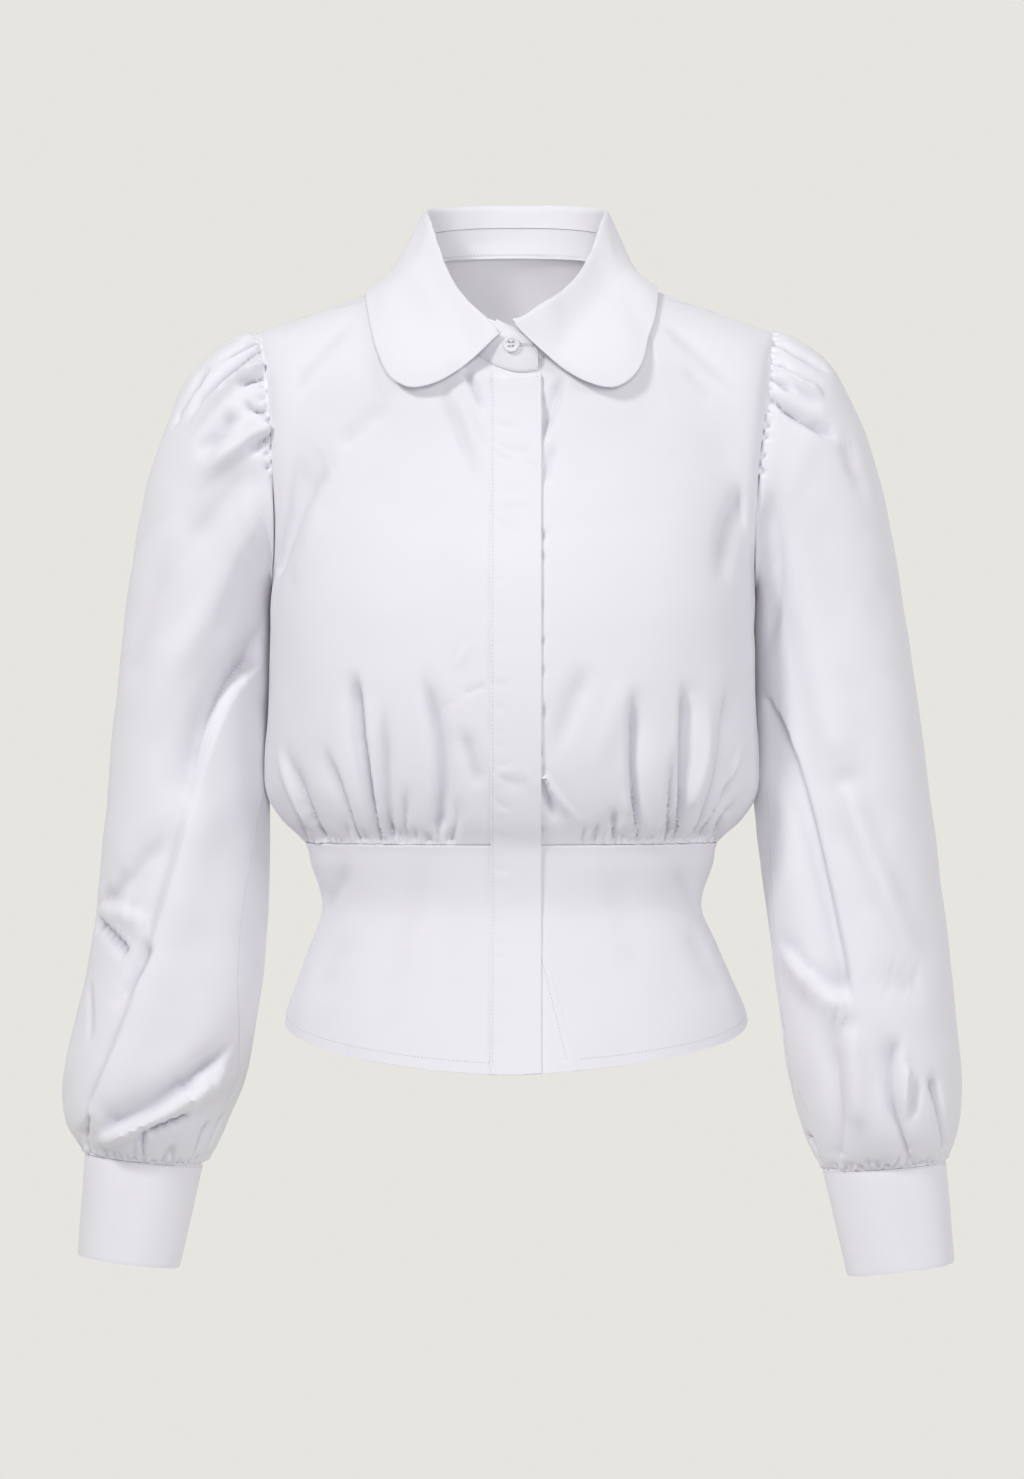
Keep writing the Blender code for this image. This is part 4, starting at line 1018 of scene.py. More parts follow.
# ---- sleeves and cuffs ----
sleeve = {    # blend and freeRing count the rings of the tables from the armhole
    "columns": 236, "rows": 180, "fine": (0.0008, 0.002, 0.0034), "nearEnds": 1.3, "endReach": 26.0,
    "frontShare": 0.4, "blend": 5, "gap": 0.1, "wall": 0.45, "tuckBack": 13.0, "freeRing": 9.5,
    "deep": 1.6, "headDeep": 1.15, "headLow": -106.0, "crisp": 0.8, "crispBelow": 5.0, "ripple": 0.5,
    "calm": 2.4, "seamDip": 0.2, "topReach": 1.0, "cuffReach": 0.6,
    "right": [    # outer, outer height, inner, inner height, forward, back, middle
        (178.5, -30.0, 168.8, -205.0, 52, 52, 0),
        (190.5, -29.5, 169.2, -207.5, 57, 57, 0),
        (206.5, -38.5, 169.8, -209.5, 60, 61, 1),
        (219.5, -50.0, 170.4, -212.0, 61, 62, 1),
        (233.0, -67.0, 171.0, -215.0, 60, 62, 2),
        (244.5, -94.0, 171.6, -219.0, 58, 61, 2),
        (255.0, -124.0, 172.1, -225.0, 56, 60, 3),
        (264.0, -163.0, 172.5, -233.0, 55, 59, 4),
        (271.0, -208.0, 173.3, -246.0, 54, 59, 5),
        (276.8, -253.0, 173.6, -268.0, 55, 59, 6),
        (281.8, -300.0, 174.0, -303.0, 56, 59, 6),
        (286.6, -355.0, 173.2, -352.0, 57, 59, 5),
        (291.0, -405.0, 172.5, -400.0, 58, 59, 3),
        (295.5, -452.0, 174.0, -450.0, 60, 59, 0),
        (306.5, -503.0, 180.0, -500.0, 62, 60, -4),
        (316.0, -548.0, 187.5, -546.0, 62, 60, -8),
        (314.5, -577.0, 198.0, -576.0, 56, 54, -11),
        (307.0, -593.0, 208.5, -598.0, 44, 42, -13),
        (300.3, -602.5, 218.4, -611.0, 31, 31, -14),
    ],
    "left": [
        (178.5, -30.0, 168.8, -205.0, 52, 52, 0),
        (190.0, -31.0, 169.0, -207.5, 57, 57, 0),
        (207.5, -40.5, 168.2, -209.5, 60, 61, 1),
        (221.5, -54.0, 168.0, -212.0, 61, 62, 1),
        (233.5, -76.0, 167.6, -215.0, 60, 62, 2),
        (245.5, -104.0, 167.4, -219.0, 58, 61, 2),
        (257.5, -144.0, 167.3, -226.0, 56, 60, 3),
        (264.5, -178.0, 167.4, -235.0, 55, 59, 4),
        (271.5, -222.0, 167.6, -249.0, 54, 59, 5),
        (277.0, -257.0, 167.9, -270.0, 55, 59, 6),
        (283.5, -302.0, 168.6, -304.0, 56, 59, 6),
        (290.5, -356.0, 167.0, -354.0, 57, 59, 5),
        (296.5, -408.0, 172.0, -406.0, 58, 59, 3),
        (302.5, -456.0, 178.0, -455.0, 60, 59, 0),
        (307.5, -505.0, 184.0, -505.0, 62, 60, -4),
        (311.5, -551.0, 191.0, -553.0, 61, 59, -8),
        (309.5, -580.0, 199.5, -584.0, 55, 53, -11),
        (304.5, -598.0, 207.5, -604.0, 43, 42, -13),
        (299.6, -608.3, 213.8, -614.5, 31, 31, -14),
    ],
}
cuff = {
    "columns": 120, "rows": 30, "fine": (0.006, 0.013), "wall": 0.9, "overlap": 30.0, "lift": 2.1,
    "wave": 0.35, "smallWave": 0.2, "crown": 0.35, "crownWide": 1.2, "stitchIn": 1.6,
    "buttonShares": (0.28, 0.74),
    "right": [(300.3, -603.0, 218.4, -611.5, 31, 31, -14), (305.5, -672.5, 234.5, -682.0, 30, 30, -18)],
    "left": [(299.6, -608.8, 213.8, -615.0, 31, 31, -14), (305.0, -678.0, 230.5, -687.5, 30, 30, -18)],
}


def ringPoint(ring, side, swing):
    # swing 0 outer, 90 front, 180 inner, 270 back
    ring = np.asarray(ring, float)
    c = np.cos(np.radians(swing))
    s = np.sin(np.radians(swing))
    x = (ring[..., 0] + ring[..., 2]) / 2 + (ring[..., 0] - ring[..., 2]) / 2 * c
    z = (ring[..., 1] + ring[..., 3]) / 2 + (ring[..., 1] - ring[..., 3]) / 2 * c
    y = ring[..., 6] - s * np.where(s > 0, ring[..., 4], ring[..., 5])
    return vector(side * x, y, z)


def sleevePoint(side, rings, swing, place):
    # place counts the rings from the armhole (0) to the cuff
    keyed = [(i, *ring) for i, ring in enumerate(rings)]
    swing, place = np.broadcast_arrays(np.asarray(swing, float), np.asarray(place, float))
    ring = along(keyed, place)[..., 1:]
    point = ringPoint(ring, side, swing)
    level = np.where(swing <= 180, swing, 360 - swing) / 180
    frontSeam = armholePoint(side, 1, level)
    backSeam = armholePoint(side, -1, level)
    face = np.where(swing <= 180, 1, -1)
    seam = np.where((face > 0)[..., None], frontSeam, backSeam)
    seam = seam + vector(side * sleeve["gap"], face * body["seamGap"] / 2, 0 * level)
    first = ringPoint(rings[0], side, swing)
    fade = (1 - smooth(place / sleeve["blend"])) ** 1.5
    # beside the blouse the inner side lies a little behind its widest line
    inner = (1 - np.cos(np.radians(swing))) / 2
    besideBody = smooth(place / 2) * (1 - smooth((place - sleeve["freeRing"]) / 3))
    point[..., 1] += sleeve["tuckBack"] * inner ** 2 * besideBody
    return point + (seam - first) * fade[..., None]


# Long folds of each sleeve as seen from the front, then those of the hidden side.
rightSleeveFolds = [
    # the fold that leaves the underarm and the broad bright ridge above it
    Fold(-175.7, -257, -208, -296, -232, -372, -7.0, 3.4, 17.0, 0.06, 0.3),
    Fold(-170, -128, -208, -205, -274, -320, 3.4, 13.0, 13.0, 0.3, 0.3),
    Fold(-176, -120, -208, -153, -243, -200, -2.8, 12.0, 12.0, 0.3, 0.4),
    Fold(-232, -170, -258, -226, -272, -290, -2.0, 13.0, 13.0, 0.35, 0.35),
    # the edge of the long panel below, and the pocket beside it
    Fold(-222, -345, -256, -473, -301, -590, 5.4, 20.0, 5.0, 0.15, 0.08),
    Fold(-253.5, -457, -264, -481, -283, -507, -5.0, 3.2, 9.0, 0.15, 0.5),
    # the pinch at the elbow
    Fold(-292.8, -440, -282, -451.5, -269.5, -465, -4.2, 2.4, 5.5, 0.03, 0.25),
    Fold(-291.5, -434, -275, -437, -254, -448, 3.0, 6.0, 7.0, 0.05, 0.35),
    Fold(-293, -431, -268, -403, -236, -370, -2.8, 10.0, 9.0, 0.1, 0.35),
    Fold(-298.5, -480, -298, -505, -297, -530, -1.6, 4.0, 4.0, 0.3, 0.4),
    # the swag above the cuff
    Fold(-194, -522, -236, -562, -292, -588, -5.0, 3.6, 12.0, 0.3, 0.1),
    Fold(-194, -542, -238, -571, -297, -598, 3.8, 6.0, 5.5, 0.3, 0.1),
    Fold(-226, -579, -240, -583, -259, -591, -4.6, 4.0, 3.2, 0.3, 0.1),
    Fold(-259, -588, -261, -596, -261, -606, -3.2, 2.0, 3.0, 0.2, 0.0),
    Fold(-294.7, -575, -299.6, -584, -304, -595, -5.0, 2.6, 3.4, 0.15, 0.15),
    Fold(-214, -582, -219, -592, -225, -606, -3.2, 2.6, 3.0, 0.3, 0.0),
    Fold(-202, -574, -209, -588, -217, -606, -2.6, 2.6, 3.6, 0.3, 0.0),
    # gathers of the head that show at this height
    Fold(-179.5, -35.6, -193, -41, -210, -51, -3.0, 2.4, 2.4, 0.0, 0.4),
    Fold(-177.7, -41.4, -204, -58, -232, -93, -6.0, 4.0, 4.6, 0.0, 0.35),
    Fold(-215, -54, -229.5, -74, -241, -97, -5.0, 3.4, 4.0, 0.2, 0.3),
    Fold(-172.8, -61.2, -186, -63, -199, -67, -3.4, 2.6, 2.4, 0.0, 0.4),
    Fold(-172, -85, -183, -83, -191, -76, -3.4, 3.0, 3.0, 0.0, 0.4),
    Fold(-195, -82, -208, -100, -226, -116, -4.0, 5.0, 6.0, 0.25, 0.4),
    Fold(-169.9, -103, -178.6, -107.6, -189, -118, -3.0, 4.0, 4.4, 0.0, 0.5),
    Fold(-174, -51, -202, -67, -232, -102, 3.6, 4.6, 4.0, 0.1, 0.35),
    Fold(-172, -95, -196, -109, -227, -137, 4.0, 6.5, 6.0, 0.1, 0.35),
]
leftSleeveFolds = [
    # the hollow by the armhole and the long bright ridge beyond it
    Fold(174, -134, 182, -194, 174, -256, -3.4, 9.0, 9.0, 0.25, 0.25),
    Fold(188, -142, 206, -240, 232, -348, 3.4, 13.0, 12.0, 0.3, 0.15),
    Fold(228, -336, 250, -404, 288, -478, 3.0, 9.0, 7.0, 0.2, 0.4),
    Fold(246, -466, 268, -482, 288, -489, -1.7, 12.0, 12.0, 0.5, 0.4),
    # the long fold that leaves the underarm
    Fold(169, -285, 198, -344, 233.5, -498, -7.4, 3.6, 15.0, 0.12, 0.05),
    Fold(180, -453, 210, -486, 238, -506, 4.2, 5.0, 10.0, 0.3, 0.3),
    # folds that rise from the cuff
    Fold(271, -517, 265, -555, 276, -604, -5.2, 3.0, 9.0, 0.35, 0.0),
    Fold(276, -540, 272, -560, 274, -584, 2.6, 4.0, 3.0, 0.3, 0.4),
    Fold(216, -504, 224.5, -553, 227, -604, -3.2, 7.0, 8.0, 0.35, 0.0),
    Fold(233, -510, 238, -553, 240, -592, 3.4, 7.0, 9.0, 0.25, 0.3),
    Fold(289.5, -546, 297, -572, 299.5, -600, -4.2, 4.0, 4.0, 0.25, 0.0),
    Fold(284, -548, 280, -566, 277, -584, -1.4, 4.0, 4.0, 0.4, 0.4),
    Fold(204, -590, 208, -598, 213, -610, -3.2, 2.4, 3.0, 0.2, 0.0),
    Fold(184, -500, 188, -530, 193, -566, -2.6, 2.4, 2.4, 0.2, 0.2),
    # gathers of the head that show at this height
    Fold(181, -36, 201, -46, 221, -58, -4.4, 4.6, 4.0, 0.0, 0.35),
    Fold(178.7, -61, 186, -66, 196, -70.5, -3.0, 2.6, 2.6, 0.0, 0.4),
    Fold(177.8, -75.5, 206, -93, 230, -102, -5.2, 6.0, 3.8, 0.0, 0.4),
    Fold(180, -53, 203, -67, 214, -70, 2.6, 4.0, 4.0, 0.1, 0.35),
    Fold(228, -92, 236, -123, 247, -152, -1.5, 8.0, 8.0, 0.4, 0.4),
    Fold(177, -50, 186, -53, 195, -58, -2.4, 2.4, 2.4, 0.0, 0.5),
]
backSleeveFolds = [    # given for the wearer's left sleeve, mirrored for the right
    Fold(186, -120, 204, -190, 216, -270, -5.4, 14.0, 10.0, 0.35, 0.4),
    Fold(226, -150, 242, -230, 254, -300, 4.4, 14.0, 13.0, 0.35, 0.4),
    Fold(180, -270, 210, -340, 240, -430, -6.6, 6.0, 16.0, 0.2, 0.35),
    Fold(196, -360, 214, -430, 236, -500, 4.2, 12.0, 9.0, 0.35, 0.35),
    Fold(284, -416, 264, -432, 238, -446, -2.4, 12.0, 12.0, 0.45, 0.45),
    Fold(276, -480, 256, -540, 262, -602, -5.4, 8.0, 9.0, 0.3, 0.0),
    Fold(206, -500, 222, -556, 236, -606, -4.6, 9.0, 8.0, 0.35, 0.0),
    Fold(184, -46, 206, -60, 228, -82, -4.0, 5.0, 6.0, 0.0, 0.4),
    Fold(176, -74, 196, -92, 222, -118, -4.2, 6.0, 7.0, 0.0, 0.4),
]


def sleeveSwings():
    # the turns around a sleeve where its columns lie, closer together on the front
    even = np.arange(sleeve["columns"]) * 360 / sleeve["columns"]
    return np.mod(even - np.degrees(sleeve["frontShare"]) * np.sin(np.radians(even - 90)), 360)


def atSwing(base, swing, place, last):
    # the point of the sleeve grid at a swing (columns) and ring (rows)
    swings = sleeveSwings()
    c = int(np.abs(np.mod(swings - swing + 180, 360) - 180).argmin())
    r = int(round(place / last * (base.shape[0] - 1)))
    return base[min(max(r, 0), base.shape[0] - 1), c]


def gatherLines(base, last, plan):
    # the way of each planned gather along the sleeve, with its lift, widths and fades
    lines = []
    for swing, lean, fromRing, toRing, lift, left, right, fadeIn, fadeOut in plan:
        line = []
        for t in np.linspace(0, 1, 12):
            ring = lerp(fromRing, toRing, t)
            line.append(atSwing(base, swing + lean * t ** 1.4, ring, last))
        lines.append((calmed(np.array(line), 2), lift, left, right, fadeIn, fadeOut))
    return lines


# Gathers of the head and of the cuff: the swings between which they lie, the step between two, the
# share of long ones on the front and on the hidden side, how many rings those reach, and their lean.
gatherKinds = {
    "head": {"swings": (-98.0, 92.0), "inward": 1, "step": 4.6, "longFront": 0.12, "longHidden": 0.4,
             "reach": 4.0, "lean": (0, 12), "fansOut": True},
    "cuff": {"swings": (0.0, 352.0), "inward": -1, "step": 5.4, "longFront": 0.2, "longHidden": 0.4,
             "reach": 2.6, "lean": (-7, 7), "fansOut": False},
}
gatherForm = {
    "long": {"depth": (3.8, 5.6), "width": (2.8, 4.0)},
    "short": {"depth": (2.6, 4.4), "width": (2.0, 2.8), "reach": (0.35, 1.1)},
    "otherWidth": (0.7, 1.4), "ridge": 0.5, "ridgeWide": 1.3, "ridgeReach": 0.8, "ridgeBeside": 0.45,
}


def gathers(random, kind, seam):
    # uneven gathers that leave a seam: narrow valleys with a soft ridge beside each
    plan = []
    swing, end = kind["swings"]
    step = kind["step"]
    while swing < end:
        swing += random.uniform(step, step * 1.9)
        onFront = 0 < swing < 180
        long = random.random() < kind["longFront" if onFront else "longHidden"]
        form = gatherForm["long" if long else "short"]
        reach = random.uniform(*((kind["reach"] / 2, kind["reach"]) if long else form["reach"]))
        lift = -random.uniform(*form["depth"])
        wide = random.uniform(*form["width"])
        lean = random.uniform(*kind["lean"])
        if kind["fansOut"]:
            lean = (1 if onFront else -1) * lean * reach / 3
        inward = kind["inward"]
        otherWide = wide * random.uniform(*gatherForm["otherWidth"])
        plan.append((swing, lean, seam, seam + inward * reach, lift, wide, otherWide, 0.0, 0.75))
        ridgeEnd = seam + inward * reach * gatherForm["ridgeReach"]
        ridgeWide = wide * gatherForm["ridgeWide"]
        plan.append((swing + step * gatherForm["ridgeBeside"], lean, seam + inward * 0.1, ridgeEnd,
                     -lift * gatherForm["ridge"], ridgeWide, ridgeWide, 0.2, 0.7))
    return plan


def sharpened(fold):
    # gathers of the head are pressed deeper, and narrow sides are made narrower
    deeper = sleeve["headDeep"] if fold.z0 > sleeve["headLow"] else 1
    left, right = (wide * (sleeve["crisp"] if wide < sleeve["crispBelow"] else 1)
                   for wide in (fold.left, fold.right))
    return fold._replace(lift=fold.lift * deeper, left=left, right=right)


def mirrored(folds):
    return [fold._replace(x0=-fold.x0, x1=-fold.x1, x2=-fold.x2, left=fold.right, right=fold.left)
            for fold in folds]


def sleevePlaces(rings):
    # where the rows lie, counted in rings: even along the sleeve, closer together near both ends
    table = np.array(rings, float)
    middle = (table[:, 0:2] + table[:, 2:4]) / 2
    outer = np.linalg.norm(np.diff(table[:, 0:2], axis=0), axis=1)
    inner = np.linalg.norm(np.diff(middle, axis=0), axis=1)
    length = np.concatenate([[0], np.cumsum((outer + inner) / 2)])
    fine = np.linspace(0, length[-1], 2000)
    end = np.minimum(fine, length[-1] - fine)
    share = np.cumsum(1 + sleeve["nearEnds"] * bell(end, sleeve["endReach"]))
    share = (share - share[0]) / (share[-1] - share[0])
    wanted = spaced(sleeve["rows"], sleeve["fine"])
    return np.interp(np.interp(wanted, share, fine), length, np.arange(len(length)))


def makeSleeve(name, side, rings, frontFolds, hiddenFolds, seed):
    random = np.random.default_rng(seed)
    last = len(rings) - 1
    swing = sleeveSwings()
    places = sleevePlaces(rings)
    base = sleevePoint(side, rings, swing[None], places[:, None])
    normals = gridNormals(base, True) * side
    frontFolds = [sharpened(fold) for fold in frontFolds]
    shift = pressFolds(base, frontFolds, 1, True, side) + pressFolds(base, hiddenFolds, -1, True, side)
    shift = shift * sleeve["deep"]
    even = np.linspace(0, last, len(places))
    evenBase = sleevePoint(side, rings, swing[None], even[:, None])
    plan = gathers(random, gatherKinds["head"], 0.0) + gathers(random, gatherKinds["cuff"], float(last))
    for line, lift, left, right, fadeIn, fadeOut in gatherLines(evenBase, last, plan):
        shift += pressAlong(base, normals, line, lift, left, right, fadeIn, fadeOut)
    fromTop, fromCuff = fromEnds(base, 0)
    calm = smooth(fromTop / sleeve["calm"] + 0.3) * smooth(fromCuff / sleeve["calm"] + 0.35)
    dip = sleeve["seamDip"] * (bell(fromTop, 1.0) + bell(fromCuff, 1.0))
    shift = shift + ripple(base, seed + 5, sleeve["ripple"])
    # the sleeve stays against the side of the blouse from the underarm down
    beside = smooth((35 - np.abs(swing - 180)) / 18)[None]
    beside = beside * (1 - smooth((places[:, None] - sleeve["freeRing"]) / 1.5))
    shift = lerp(shift, np.maximum(shift, -0.4), beside)
    grid = movedOut(base, shift * calm - dip, True, side)
    # both rims reach to what they are sewn to
    grid[0] += unit(grid[0] - grid[3]) * sleeve["topReach"]
    grid[-1] += unit(grid[-1] - grid[-4]) * sleeve["cuffReach"]
    ends = ("top", "bottom")
    item = clothShell(name + "Cloth", tucked(grid, ends, True, side), sleeve["wall"], cloth, True, side,
                      tucked(base, ends, True, side))
    finishPiece(item, [name])
    return grid


def cuffPoint(side, ends, swing, share, lift):
    # share runs from the sleeve (0) to the hand (1); lift moves the point off the solid's form
    swing, share, lift = np.broadcast_arrays(swing, share, lift)
    share = share[..., None]
    point = lerp(ringPoint(ends[0], side, swing), ringPoint(ends[1], side, swing), share)
    middleTop, middleLow = ((ringPoint(end, side, 0) + ringPoint(end, side, 180)) / 2 for end in ends)
    out = point - lerp(middleTop, middleLow, share)
    out[..., 2] = 0
    return point + unit(out) * lift[..., None]


def makeCuff(name, side, ends):
    turned = np.linspace(0, 360 + cuff["overlap"], cuff["columns"] + 1)[None]
    share = spaced(cuff["rows"], cuff["fine"])[:, None]
    lift = cuff["lift"] * smooth((turned - 270) / 90)
    base = cuffPoint(side, ends, 270 - cuff["overlap"] / 2 + turned, share, lift)
    angle = np.radians(turned)
    wave = cuff["wave"] * np.sin(angle * 3 + side) * smooth(share * 2)
    wave = wave + cuff["smallWave"] * np.sin(angle * 7 + 2 * share)
    fromTop, fromHand = fromEnds(base, 0)
    crown = -cuff["crown"] * bell(np.minimum(fromTop, fromHand), cuff["crownWide"])
    grid = movedOut(base, wave + crown, False, side)
    item = clothShell(name + "Cloth", grid, cuff["wall"], bandCloth, False, side, base)
    finishPiece(item, [name])
    normals = gridNormals(grid) * side
    row = int(np.abs(fromTop.mean(1) - cuff["stitchIn"]).argmin())
    stitchPiece(name + "Stitches", [(grid[row], normals[row])])


# seam lines drawn dark as painted shadow, where they show in the photograph
seamShadowLine = {"radius": 0.3, "sides": 6, "passes": 30}
sleeveSeams = {
    "right": [(-176, -350), (-179.2, -364), (-187, -405), (-193.2, -446), (-195.1, -483), (-193.7, -516),
              (-194, -548), (-202.5, -567), (-217, -598)],
    "left": [(176, -350), (177, -366), (178.5, -405), (181, -446), (184, -483), (188, -516),
             (194, -548), (201, -567), (214, -600)],
}
shoulderSeams = {
    "right": [(-107, -8.5), (-130, -13.5), (-158, -22)],
    "left": [(107, -7.5), (126, -11.5), (143, -18)],
}


def makeSeamShadowLine(name, grid, normals, places):
    # a fine raised line in the grey thread where two edges are sewn together: painted shadow of the seam's
    # ditch, laid on the cloth where it shows
    parts = []
    for a, b in zip(places[:-1], places[1:]):
        middle = ((a[0] + b[0]) / 2, (a[1] + b[1]) / 2)
        parts.append(laidLine(grid, normals, Fold(*a, *middle, *b, 0, 1, 1, 0, 0), 1)[:-1])
    line = calmed(np.concatenate(parts), seamShadowLine["passes"])
    item = joined(name, [tubeAlong(line, seamShadowLine["radius"], seamShadowLine["sides"])], thread)
    finishPiece(item, [])


sleeveGrids = {
    "right": makeSleeve("right_sleeve", -1, sleeve["right"], rightSleeveFolds, mirrored(backSleeveFolds), 11),
    "left": makeSleeve("left_sleeve", 1, sleeve["left"], leftSleeveFolds, backSleeveFolds, 23),
}
makeCuff("right_cuff", -1, cuff["right"])
makeCuff("left_cuff", 1, cuff["left"])
for word, side in (("right", -1), ("left", 1)):
    sleeveGrid = sleeveGrids[word]
    makeSeamShadowLine(word + "SleeveSeamShadow", sleeveGrid, gridNormals(sleeveGrid, True) * side, sleeveSeams[word])
    frontGrid = bodyGrids[word + "_front"]
    makeSeamShadowLine(word + "ShoulderSeamShadow", frontGrid, -gridNormals(frontGrid), shoulderSeams[word])
print("sleeves and cuffs made")

# ---- the closing: band over the right front, band under it on the left ----
closing = {
    "half": 17.0, "top": 0.012, "rows": 290, "columns": 28, "fine": (0.012, 0.024), "seed": 5,
    "wall": 0.8, "leftLift": 0.95, "middleLift": 1.5, "rightLift": 2.3,
    "tuckAt": 10.4, "tuck": 1.2, "tuckFade": 9.0,
    "edgeDip": 0.25, "edgeWide": 0.5, "stitchIn": 1.5, "stitchDip": 0.42, "stitchWide": 0.7,
    "underColumns": 18, "underFine": (0.012,), "underWall": 0.55, "underLift": 0.75, "underHem": 2.4,
    "underStitchFrom": 2.42,
}
bandFolds = [
    Fold(-16, -91, -6, -94, 6, -91, -0.7, 2.4, 3.0, 0.0, 0.6),
    Fold(-16, -105, 0, -112, 15, -110, -0.6, 3.0, 3.6, 0.0, 0.4),
    Fold(-16, -112, -6, -118, 2, -117, -0.8, 2.2, 2.6, 0.0, 0.6),
    Fold(16, -126, 10, -120, 2, -119, -0.6, 2.4, 2.4, 0.0, 0.6),
    Fold(-16, -150, -2, -146, 12, -148, 0.5, 4.0, 4.0, 0.2, 0.4),
    Fold(-16, -158, -4, -166, 8, -167, -0.5, 3.0, 3.4, 0.0, 0.6),
    Fold(-16, -336, -4, -344, 12, -345, -0.9, 3.4, 4.4, 0.0, 0.4),
    Fold(-16, -344, -6, -337, 6, -336, 0.5, 4.0, 4.0, 0.1, 0.5),
    Fold(-16, -354, -8, -362, 0, -364, -0.6, 2.4, 2.4, 0.0, 0.6),
    Fold(15, -352, 8, -340, 0, -336, 0.4, 4.0, 4.0, 0.2, 0.4),
]


pucker = {"x": -16.0, "top": -180.0, "span": 350.0, "count": 34, "length": (5, 20), "tilt": (-3, 3),
          "height": (0.15, 0.45), "width": (1.6, 3.6)}


def bandPuckers(random):
    # small uneven puckers that leave the stitched edge of the band
    folds = []
    for k in range(pucker["count"]):
        x = pucker["x"]
        z = pucker["top"] - pucker["span"] * (k + random.uniform(0.1, 0.9)) / pucker["count"]
        long = random.uniform(*pucker["length"])
        tilt = random.uniform(*pucker["tilt"])
        lift = random.choice([-1, 1]) * random.uniform(*pucker["height"])
        wide = random.uniform(*pucker["width"])
        folds.append(Fold(x, z, x + long / 2, z + tilt * 0.6, x + long, z + tilt, lift, wide,
                          wide * 1.2, 0.0, 0.7))
    return folds


def centrePoint(x, level):
    # the front of the blouse at a distance x from its middle
    low = np.minimum(level, 2.0)
    high = np.maximum(level, 2.0)
    sides = []
    for side in (-1, 1):
        upper = bodicePoint(side, 1, 0.0 * x, low, x)
        lower = waistPoint(side, 1, 0.0 * x, high, x)
        sides.append(np.where((level <= 2)[..., None], upper, lower))
    return np.where((x < 0)[..., None], sides[0], sides[1])


def makeClosing():
    random = np.random.default_rng(closing["seed"])
    level = np.concatenate([np.linspace(closing["top"], 2, closing["rows"] * 3 // 4),
                            np.linspace(2, 3, closing["rows"] // 4 + 1)[1:]])[:, None]
    share = spaced(closing["columns"], closing["fine"])[None]
    x, levels = np.broadcast_arrays(lerp(-closing["half"], closing["half"], share), level)
    base = centrePoint(x, levels)
    lift = closing["leftLift"] + (closing["middleLift"] - closing["leftLift"]) * smooth(share / 0.35)
    lift = lift + (closing["rightLift"] - closing["middleLift"]) * smooth((share - 0.45) / 0.55)
    # the top of the band goes in under the stand and stands off the front just below it
    fromTop = lengthsAlong(base, 0)
    tuck = closing["tuck"] * smooth((fromTop - closing["tuckAt"]) / 1.4)
    tuck = tuck * np.exp(-np.maximum(fromTop - 11, 0) / closing["tuckFade"])
    base = movedOut(base, lift * lerp(0.2, 1.0, smooth((fromTop - 10.2) / 1.8)) + tuck)
    shift = pressFolds(base, bandFolds + bandPuckers(random))
    across, fromRight = fromEnds(base, 1)
    shift = shift - closing["edgeDip"] * bell(np.minimum(across, fromRight), closing["edgeWide"])
    shift = shift - closing["stitchDip"] * bell(across - closing["stitchIn"], closing["stitchWide"])
    grid = movedOut(base, shift)
    item = clothShell("frontPlacketCloth", grid, closing["wall"], bandCloth, base=base)
    finishPiece(item, ["front_placket"])
    column = int(np.abs(across.mean(0) - closing["stitchIn"]).argmin())
    seen = (slice(4, -3), column)
    stitchPiece("frontPlacketStitches", [(grid[seen], -gridNormals(grid)[seen])])
    makeUnderBand(level)


def makeUnderBand(level):
    share = spaced(closing["underColumns"], closing["underFine"])[None]
    edge = underEdge(level) + closing["underHem"] * smooth((level - 2.3) / 0.1)
    x, levels = np.broadcast_arrays(lerp(body["seamGap"] - body["frontEdge"], edge, share), level)
    base = centrePoint(x, levels)
    fromEdge = fromEnds(base, 1)[1]
    shift = closing["underLift"] * smooth((level - 2.0) / 0.4)
    shift = shift - closing["edgeDip"] * bell(fromEdge, closing["edgeWide"])
    grid = movedOut(base, shift)
    item = clothShell("underPlacketCloth", grid, closing["underWall"], bandCloth, base=base)
    finishPiece(item, ["under_placket"])
    start = int(np.abs(level[:, 0] - closing["underStitchFrom"]).argmin())
    seen = (slice(start, -3), -4)
    stitchPiece("underPlacketStitches", [(grid[seen], -gridNormals(grid)[seen])])


makeClosing()
print("closing made")

# ---- one row of stitches above the hem, all round ----
hem = {
    "stitchUp": 6.2,
    "columns": {"right_waist_panel": slice(2, -4), "left_waist_panel": slice(3, -2),
                "back_waist_panel": slice(2, -2)},
}


def hemStitches():
    runs = []
    for name, grid in waistGrids.items():
        row = int(np.abs(fromEnds(grid, 0)[1].mean(1) - hem["stitchUp"]).argmin())
        seen = (row, hem["columns"][name])
        runs.append((grid[seen], -gridNormals(grid)[seen]))
    stitchPiece("hemStitches", runs)


hemStitches()

